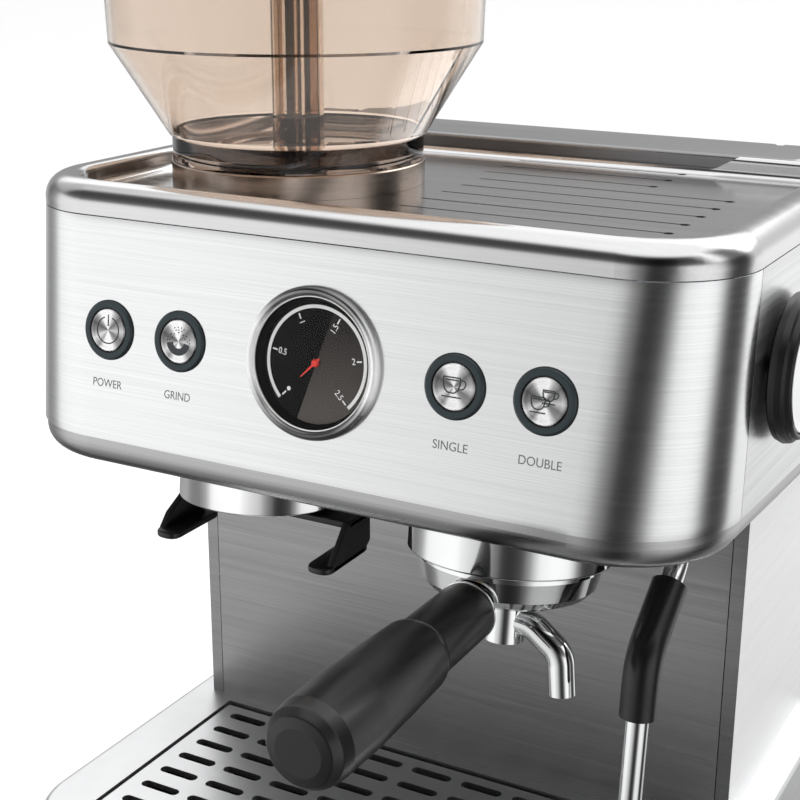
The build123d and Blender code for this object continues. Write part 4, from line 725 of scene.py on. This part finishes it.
def button(name, x):
    """One push button in its dark trim ring. Returns the ring."""
    place = panel_place(x, CONTROL_LINE)
    ring = soften([(RING_BORE, -3.0), (RING_BORE, RING_PROUD - 0.25), (RING_BORE + 0.35, RING_PROUD),
                   (RING_RADIUS - 0.55, RING_PROUD), (RING_RADIUS, 0.6), (RING_RADIUS, 0.03),
                   (RING_BORE + 0.5, 0.03), (RING_BORE + 0.5, -3.0)], 0.25, 3, closed=True)
    edge = soften([(RING_RADIUS - 0.1, 0.02), (RING_RADIUS - 0.1, 0.5), (RING_RADIUS + 0.25, 0.45),
                   (RING_RADIUS + 0.3, 0.02)], 0.1, 2, closed=True)
    line = soften([(RING_BORE - 0.02, 0.7), (RING_BORE - 0.02, RING_PROUD + 0.02),
                   (RING_BORE + 0.32, RING_PROUD + 0.02), (RING_BORE + 0.32, 0.7)], 0.12, 2, closed=True)
    trim = turned(f"{name}_trim", ring, place, RING_METAL, "frame")
    # Painted shade: thin near-black rings at the trim's foot on the panel and over the edge of its bore, where the
    # gaps are.
    turned(f"{name}_trim_foot_painted_shade", edge, place, GAP_PAINTED_SHADE, "frame")
    turned(f"{name}_trim_bore_painted_shade", line, place, GAP_PAINTED_SHADE, "frame")
    dish = CAP_PROUD - CAP_DISH
    cap = [(0, -4.0), (CAP_RADIUS - 1.0, -4.0), (CAP_RADIUS, -3.0), (CAP_RADIUS, CAP_PROUD - 0.6),
           (CAP_RADIUS - 0.35, CAP_PROUD - 0.1), (CAP_RADIUS - 1.2, CAP_PROUD - 0.12)]
    cap += [(CAP_RADIUS * k / 8, dish + 0.33 * (k / 8) ** 2) for k in range(6, -1, -1)]
    face = turned(f"{name}_cap", soften(cap, 0.3, 3), place, CAP_METAL, f"{name}_button",
                  closed=False)
    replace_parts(face, f"{name}_button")
    mark = strip_mesh(f"{name}_mark", MARKS[name], panel_place(x, CONTROL_LINE, dish + 0.02), 0.2)
    new_piece(f"{name}_mark", mark, ENGRAVED, f"{name}_button")
    return trim


trims = []
for name, x in BUTTONS.items():
    trims.append(button(name, x))
    lettering(f"{name}_label", name.upper(), LABEL_SIZE, panel_place(x, LABEL_LINE, 0.02), PRINT_GREY,
              "frame", LABEL_WIDTHS[name])
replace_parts(trims[0], "button_rings")

# ---------------------------------------------------------------- gauge
GAUGE_RADIUS = 28.4
GAUGE_SEGMENTS = 160
FACE_DEPTH = 2.0                      # from the panel down to the dial
SCALE_LOW, SCALE_SPAN = 225.0, 270.0  # degrees
SCALE_NUMBERS = ("0.5", "1", "1.5", "2", "2.5")
GAUGE_PLACE = panel_place(0, CONTROL_LINE)


def gauge_rim():
    trim = soften([(24.9, -2.3), (24.9, 2.35), (24.65, 2.6), (24.4, 2.4), (24.4, -2.3)], 0.1, 3, closed=True)
    turned("gauge_trim", trim, GAUGE_PLACE, PRINT_WHITE, "frame", GAUGE_SEGMENTS)
    well = soften([(24.36, -2.3), (24.36, 2.0), (23.9, 1.2), (22.6, -1.9), (22.6, -2.3)], 0.2, 3, closed=True)
    turned("gauge_well", well, GAUGE_PLACE, DIAL_BLACK, "frame", GAUGE_SEGMENTS)
    bezel = soften([(24.95, -2.4), (25.8, -2.4), (25.8, 0.05), (GAUGE_RADIUS, 0.05), (GAUGE_RADIUS, 1.3),
                    (GAUGE_RADIUS - 0.25, 2.3), (GAUGE_RADIUS - 0.8, 3.1), (GAUGE_RADIUS - 1.6, 3.5),
                    (GAUGE_RADIUS - 2.5, 3.35), (GAUGE_RADIUS - 3.2, 2.8), (24.95, 2.0)], 0.3, 4, closed=True)
    # The bezel's bright and dark bands are painted reflections in its colour.
    rim = turned("gauge_rim", bezel, GAUGE_PLACE, BEZEL_PAINTED_BANDS, "frame", GAUGE_SEGMENTS)
    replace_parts(rim, "gauge_bezel")


def gauge_face():
    """Dial with a painted sheen over one half."""
    outline = soften([(0, -FACE_DEPTH), (23.1, -FACE_DEPTH), (23.4, -1.2), (24.25, -0.9), (24.25, -12.0),
                      (23.0, -15.9), (0, -15.9)], 0.3, 3)
    dial = turned("gauge_face", outline, GAUGE_PLACE, DIAL_BLACK, "frame", GAUGE_SEGMENTS,
                  closed=False)
    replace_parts(dial, "gauge_dial")
    # Painted reflection: a thin half disc in a lighter colour lies on the dial.
    painted_sheen_strip = strip_mesh("gauge_face_painted_sheen", [half_disc(22.9, 73.0)],
                       panel_place(0, CONTROL_LINE, 0.01 - FACE_DEPTH), 0.02)
    new_piece("gauge_face_painted_sheen", painted_sheen_strip, DIAL_PAINTED_SHEEN, "frame")


def gauge_scale():
    """Printed arc, ticks, zero dot and numbers."""
    place = panel_place(0, CONTROL_LINE, 0.05 - FACE_DEPTH)
    shapes = [arc_band(20.1, 21.4, SCALE_LOW, SCALE_LOW - SCALE_SPAN, 120)]
    steps = len(SCALE_NUMBERS)
    for step in range(steps + 1):
        direction = heading(SCALE_LOW - SCALE_SPAN * step / steps)
        shapes.append(stroke([tuple(direction * 17.2), tuple(direction * 19.3)], 0.55))
    shapes.append(dot(heading(SCALE_LOW) * 15.6, 0.8, 16))
    mesh = strip_mesh("gauge_scale", shapes, place, 0.04)
    new_piece("gauge_scale", mesh, PRINT_WHITE, "frame")
    for step, text in enumerate(SCALE_NUMBERS, 1):
        degrees = SCALE_LOW - SCALE_SPAN * step / steps
        spot = heading(degrees) * (14.9 if len(text) > 1 else 15.9)
        upright = degrees - 180 if spot.x < 0 else degrees
        local = Matrix.Translation((spot.x * MM, spot.y * MM, 0))
        lettering(f"gauge_number_{step}", text, 3.4, place @ local, PRINT_WHITE, "frame", 0.9,
                  upright)


def gauge_needle():
    outline = soften([(0, -1.7), (1.5, -1.7), (1.5, -0.9), (1.0, -0.4), (0, -0.35)], 0.3, 3)
    hub = turned("needle_hub", outline, GAUGE_PLACE, NEEDLE_RED, "needle", 48, closed=False)
    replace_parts(hub, "gauge_needle")
    ahead = heading(SCALE_LOW)
    side = Vector((-ahead.y, ahead.x))
    pointer = [tuple(ahead * along + side * across) for along, across in
               ((-2.4, 0.4), (-2.4, -0.4), (1.0, -0.42), (8.2, -0.12), (8.2, 0.12), (1.0, 0.42))]
    mesh = strip_mesh("needle_pointer", [pointer], panel_place(0, CONTROL_LINE, -1.2), 0.35)
    new_piece("needle_pointer", mesh, NEEDLE_RED, "needle")


gauge_rim()
gauge_face()
gauge_scale()
gauge_needle()

# ---------------------------------------------------------------- grinder outlet and fork
SPOUT_Y = (GROUP_CENTRE.y - SEAM_Y) / MM
RIM_Z = (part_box("grinder_outlet_ring")[0].z - SEAM_Z) / MM
OUTLET_X = (middle("grinder_outlet_ring").x - MIDDLE_X) / MM
OUTLET_RADIUS, OUTLET_WALL, OUTLET_REACH = 33.7, 2.0, 29.0
RAKE_ANGLE = math.atan2(GROUP_UP.y, GROUP_UP.z)
FORK_PLATE, FORK_RAIL, FORK_RELIEF, FORK_NOTCH, FORK_FLOOR = 3.2, 11.5, 10.0, 11.0, 3.0


def outlet_ring():
    inner = OUTLET_RADIUS - OUTLET_WALL
    centre_z = RIM_Z + OUTLET_RADIUS * math.sin(RAKE_ANGLE)
    place = placed(seam_point(OUTLET_X, SPOUT_Y, centre_z), GROUP_UP)
    profile = soften([(OUTLET_RADIUS, 0), (OUTLET_RADIUS, OUTLET_REACH), (inner, OUTLET_REACH), (inner, 0)],
                     0.8, 5, closed=True)
    piece = turned("outlet_ring", profile, place, OUTLET_CHROME, "frame", 160)
    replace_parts(piece, "grinder_outlet_ring")


def fork():
    """Two rails with a cheek each, under a bar that meets the pan."""
    low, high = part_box("portafilter_fork")
    left, right = (low.x - MIDDLE_X) / MM, (high.x - MIDDLE_X) / MM
    tip, floor_z = (low.y - SEAM_Y) / MM, (low.z - SEAM_Z) / MM
    root, rear, top_z = SPOUT_Y - 3.0, SPOUT_Y + 14.5, RIM_Z + 1.6
    slabs = []
    for x, sign, front in ((left, 1, root + FORK_RELIEF), (right, -1, root)):
        cheek = soften([(front, top_z), (rear, top_z), (rear, floor_z + 4.0), (rear - 6.0, floor_z),
                        (tip + 4.0, floor_z), (tip + 4.0, floor_z + 3.0), (tip + 9.0, floor_z + 8.5)], 2.5, 4,
                       closed=True)
        cheek_x = min(x, x + sign * FORK_PLATE)
        slabs.append((placed(seam_point(cheek_x, 0, 0), (1, 0, 0), (0, 1, 0)), cheek, FORK_PLATE))
        start, end = sorted((x, x + sign * FORK_RAIL))
        rail = soften([(start, tip), (end, tip), (end, rear), (start, rear)], 5.5, 6, closed=True)
        slabs.append((placed(seam_point(0, 0, floor_z), (0, 0, 1)), rail, FORK_FLOOR))
    bar = [(left + FORK_NOTCH, root), (right, root), (right, rear), (left, rear), (left, root + FORK_RELIEF),
           (left + FORK_NOTCH, root + FORK_RELIEF)]
    slabs.append((placed(seam_point(0, 0, top_z - FORK_PLATE), (0, 0, 1)), bar, FORK_PLATE - 0.02))
    return rounded_solid("fork", slabs, BLACK_PLASTIC, "frame")


outlet_ring()
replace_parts(fork(), "portafilter_fork")

# ---------------------------------------------------------------- portafilter handle
HANDLE_STEP = 39.9                    # from the bowl's neck to the step in the grip
HANDLE_BORE, BORE_DEPTH = 4.1, 60.5


def handle():
    low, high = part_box("portafilter_handle")
    start = Vector(((low.x + high.x) / 2, high.y, (low.z + high.z) / 2))
    place = placed(start, (0, -1, 0))
    step, length = HANDLE_STEP, (high.y - low.y) / MM
    outline = [(HANDLE_BORE, 0.0), (10.4, 0.0), (11.3, 0.5), (11.7, 2.4), (12.05, step - 2.2),
               (11.6, step - 1.4), (11.2, step - 1.2), (11.2, step - 0.4), (12.4, step - 0.3),
               (13.5, step + 0.5), (13.9, step + 2.4), (14.8, step + 22), (15.55, step + 46),
               (15.3, length - 9.0), (14.4, length - 3.8), (12.0, length - 0.9), (8.5, length), (0, length)]
    profile = soften(outline, 1.6, 5) + [Vector((0, BORE_DEPTH)), Vector((HANDLE_BORE, BORE_DEPTH))]
    grip = turned("handle", profile, place, BLACK_RUBBER, "portafilter", 128)
    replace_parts(grip, "portafilter_handle")
    rim = soften([(10.0, -0.6), (11.5, -0.6), (11.85, 0.1), (11.85, 0.75), (11.35, 0.9), (10.0, 0.1)],
                 0.25, 3, closed=True)
    turned("handle_rim", rim, place, CHROME, "portafilter")
    band = soften([(11.1, step - 1.15), (11.95, step - 1.1), (12.1, step - 0.8), (11.95, step - 0.5),
                   (11.1, step - 0.45)], 0.15, 3, closed=True)
    turned("handle_step_ring", band, place, RING_METAL, "portafilter")


handle()

# ---------------------------------------------------------------- steam knob
KNOB_THICKNESS = 11.0
KNOB_SEGMENTS = 160


def knob():
    """Wheel with its shaft, and the polished face set in it."""
    origin = Vector((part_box("steam_knob")[1].x - KNOB_THICKNESS * MM, KNOB_CENTRE.y, KNOB_CENTRE.z))
    place = placed(origin, KNOB_OUT, (0, 1, 0))
    rim = soften([(0, -33.5), (3.0, -33.5), (3.0, 1.5), (24.6, 1.5), (27.0, 2.8), (28.0, 5.4), (27.5, 7.7),
                  (26.5, 8.3), (26.2, 8.9), (25.8, 10.3), (24.8, KNOB_THICKNESS), (23.8, 10.6), (23.6, 9.0),
                  (0, 9.0)], 0.5, 4)
    wheel = turned("knob_wheel", rim, place, BLACK_PLASTIC, "knob", KNOB_SEGMENTS,
                   closed=False)
    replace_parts(wheel, "steam_knob")
    face = soften([(0, 9.05), (23.4, 9.05), (23.4, 10.3), (22.9, 10.75), (22.3, 10.45), (21.6, 9.9),
                   (19.0, 9.7), (0, 10.1)], 0.3, 4)
    cap = turned("knob_face", face, place, CHROME, "knob", KNOB_SEGMENTS, closed=False)
    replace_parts(cap, "knob_cap")


knob()

# ---------------------------------------------------------------- floor, light and camera
CAMERA_SPOT = (287.64, -462.26, 115.19)   # millimetres from the middle of the top seam
CAMERA_YAW, CAMERA_PITCH, CAMERA_ROLL = 28.92, 17.94, 0.19
SENSOR, LENS, LENS_RISE = 36.0, 69.228, 0.006375
FLOOR_REACH = 9.0


def camera():
    lens = bpy.data.cameras.new("camera")
    lens.sensor_width = SENSOR
    lens.lens = LENS
    lens.clip_end = 30.0
    lens.shift_y = LENS_RISE
    eye = bpy.data.objects.new("camera", lens)
    bpy.context.scene.collection.objects.link(eye)
    yaw, pitch = math.radians(CAMERA_YAW), math.radians(CAMERA_PITCH)
    ahead = Vector((-math.sin(yaw) * math.cos(pitch), math.cos(yaw) * math.cos(pitch), -math.sin(pitch)))
    turn = ahead.to_track_quat("-Z", "Y").to_matrix().to_4x4()
    roll = Matrix.Rotation(math.radians(CAMERA_ROLL), 4, "Z")
    eye.matrix_world = Matrix.Translation(seam_point(*CAMERA_SPOT)) @ turn @ roll
    bpy.context.scene.camera = eye


def floor():
    mesh = bpy.data.meshes.new("floor")
    build = bmesh.new()
    corners = ((-1, -1), (1, -1), (1, 1), (-1, 1))
    build.faces.new([build.verts.new((x * FLOOR_REACH, y * FLOOR_REACH, 0)) for x, y in corners])
    build.to_mesh(mesh)
    build.free()
    piece = bpy.data.objects.new("floor", mesh)
    bpy.context.scene.collection.objects.link(piece)
    mesh.materials.append(satin("floor_white", (0.97, 0.97, 0.97), 0.0, 0.8, 40.0, 0.01, 0.01))
    piece.visible_glossy = False


# Brightness of the studio round the object, by degrees from straight ahead, to the right.
SURROUND = ((-180, 0.95), (-166, 0.45), (-140, 0.42), (-120, 0.47), (-105, 0.26), (-92, 0.34), (-82, 0.62),
            (-70, 0.95), (-40, 1.0), (-30, 0.86), (-20, 0.7), (-8, 0.55), (0, 0.32), (10, 0.14), (20, 0.035),
            (30, 0.05), (40, 0.2), (50, 0.62), (60, 0.92), (80, 1.0), (92, 0.74), (102, 0.22), (112, 0.06),
            (122, 0.07), (130, 0.2), (137, 0.7), (145, 1.0), (180, 0.95))
# The same by degrees above the horizon, in front of the object and behind it.
BY_HEIGHT_FRONT = ((-90, 0.2), (-45, 0.34), (-24, 0.8), (-10, 1.0), (8, 1.0), (20, 0.3), (30, 0.09),
                   (44, 0.07), (54, 0.35), (62, 1.0), (90, 1.0))
BY_HEIGHT_BACK = ((-90, 0.2), (-40, 0.3), (-20, 0.8), (-5, 1.0), (6, 0.7), (14, 0.75), (20, 1.5), (27, 2.6),
                  (45, 3.0), (90, 3.0))
OVERHEAD_START, OVERHEAD_FULL, OVERHEAD_LEVEL = 46.0, 62.0, 1.15
BACK_START, BACK_FULL = 0.35, -0.35   # how far a direction points ahead, from 1 to -1
STUDIO_STRENGTH = 1.45


class Sky:
    """The studio's world material, with short calls for its sums."""

    def __init__(self, name):
        world = bpy.data.worlds.new(name)
        bpy.context.scene.world = world
        world.use_nodes = True
        self.tree = world.node_tree
        self.tree.nodes.clear()

    def node(self, kind):
        return self.tree.nodes.new(kind)

    def link(self, source, target):
        self.tree.links.new(source, target)

    def sum(self, operation, *values):
        """Result of one maths node fed with sockets or numbers."""
        made = self.node("ShaderNodeMath")
        made.operation = operation
        for socket, value in zip(made.inputs, values):
            if isinstance(value, bpy.types.NodeSocket):
                self.link(value, socket)
            else:
                socket.default_value = value
        return made.outputs[0]

    def curve(self, value, points, low, high):
        """Smooth curve through (position, level) points."""
        made = self.node("ShaderNodeFloatCurve")
        curve = made.mapping.curves[0]
        top = max(level for _, level in points)
        while len(curve.points) > 2:
            curve.points.remove(curve.points[1])
        spots = [((position - low) / (high - low), level / top) for position, level in points]
        curve.points[0].location = spots[0]
        for spot in spots[1:-1]:
            curve.points.new(*spot)
        curve.points[-1].location = spots[-1]
        made.mapping.update()
        self.link(self.sum("DIVIDE", self.sum("SUBTRACT", value, low), high - low), made.inputs["Value"])
        return self.sum("MULTIPLY", made.outputs[0], top)

    def smooth_step(self, value, start, full):
        """Share that grows smoothly from 0 at start to 1 at full."""
        made = self.node("ShaderNodeMapRange")
        made.interpolation_type = "SMOOTHSTEP"
        made.inputs["From Min"].default_value = start
        made.inputs["From Max"].default_value = full
        self.link(value, made.inputs["Value"])
        return made.outputs["Result"]

    def blend(self, share, first, second):
        """The first value where the share is 0, the second where it is 1."""
        return self.sum("ADD", self.sum("MULTIPLY", first, self.sum("SUBTRACT", 1.0, share)),
                        self.sum("MULTIPLY", second, share))


def studio():
    sky = Sky("studio")
    split = sky.node("ShaderNodeSeparateXYZ")
    sky.link(sky.node("ShaderNodeTexCoord").outputs["Generated"], split.inputs[0])
    ahead = sky.sum("MULTIPLY", split.outputs["Y"], -1.0)
    azimuth = sky.sum("DEGREES", sky.sum("ARCTAN2", split.outputs["X"], ahead))
    height = sky.sum("DEGREES", sky.sum("ARCSINE", split.outputs["Z"]))
    around = sky.curve(azimuth, SURROUND, -180, 180)
    front = sky.curve(height, BY_HEIGHT_FRONT, -90, 90)
    back = sky.curve(height, BY_HEIGHT_BACK, -90, 90)
    upright = sky.blend(sky.smooth_step(ahead, BACK_START, BACK_FULL), front, back)
    walls = sky.sum("MULTIPLY", around, upright)
    lit = sky.blend(sky.smooth_step(height, OVERHEAD_START, OVERHEAD_FULL), walls, OVERHEAD_LEVEL)
    path = sky.node("ShaderNodeLightPath")
    seen = sky.sum("MAXIMUM", path.outputs["Is Camera Ray"], path.outputs["Is Transmission Ray"])
    background = sky.node("ShaderNodeBackground")
    sky.link(sky.sum("MULTIPLY", sky.blend(seen, lit, 1.0), STUDIO_STRENGTH), background.inputs["Strength"])
    sky.link(background.outputs[0], sky.node("ShaderNodeOutputWorld").inputs["Surface"])


def softbox(name, spot, target, size, watts):
    """Square lamp that lights the object without being seen in it."""
    light = bpy.data.lights.new(name, "AREA")
    light.shape = "SQUARE"
    light.size = size
    light.energy = watts
    lamp = bpy.data.objects.new(name, light)
    bpy.context.scene.collection.objects.link(lamp)
    look = (Vector(target) - Vector(spot)).to_track_quat("-Z", "Y")
    lamp.matrix_world = Matrix.Translation(Vector(spot)) @ look.to_matrix().to_4x4()
    lamp.visible_glossy = False
    lamp.visible_transmission = False


camera()
floor()
studio()
softbox("key", (-1.2, -1.4, 2.2), (0, 0, 0.2), 1.6, 30.0)
bpy.context.scene.view_settings.view_transform = "Standard"
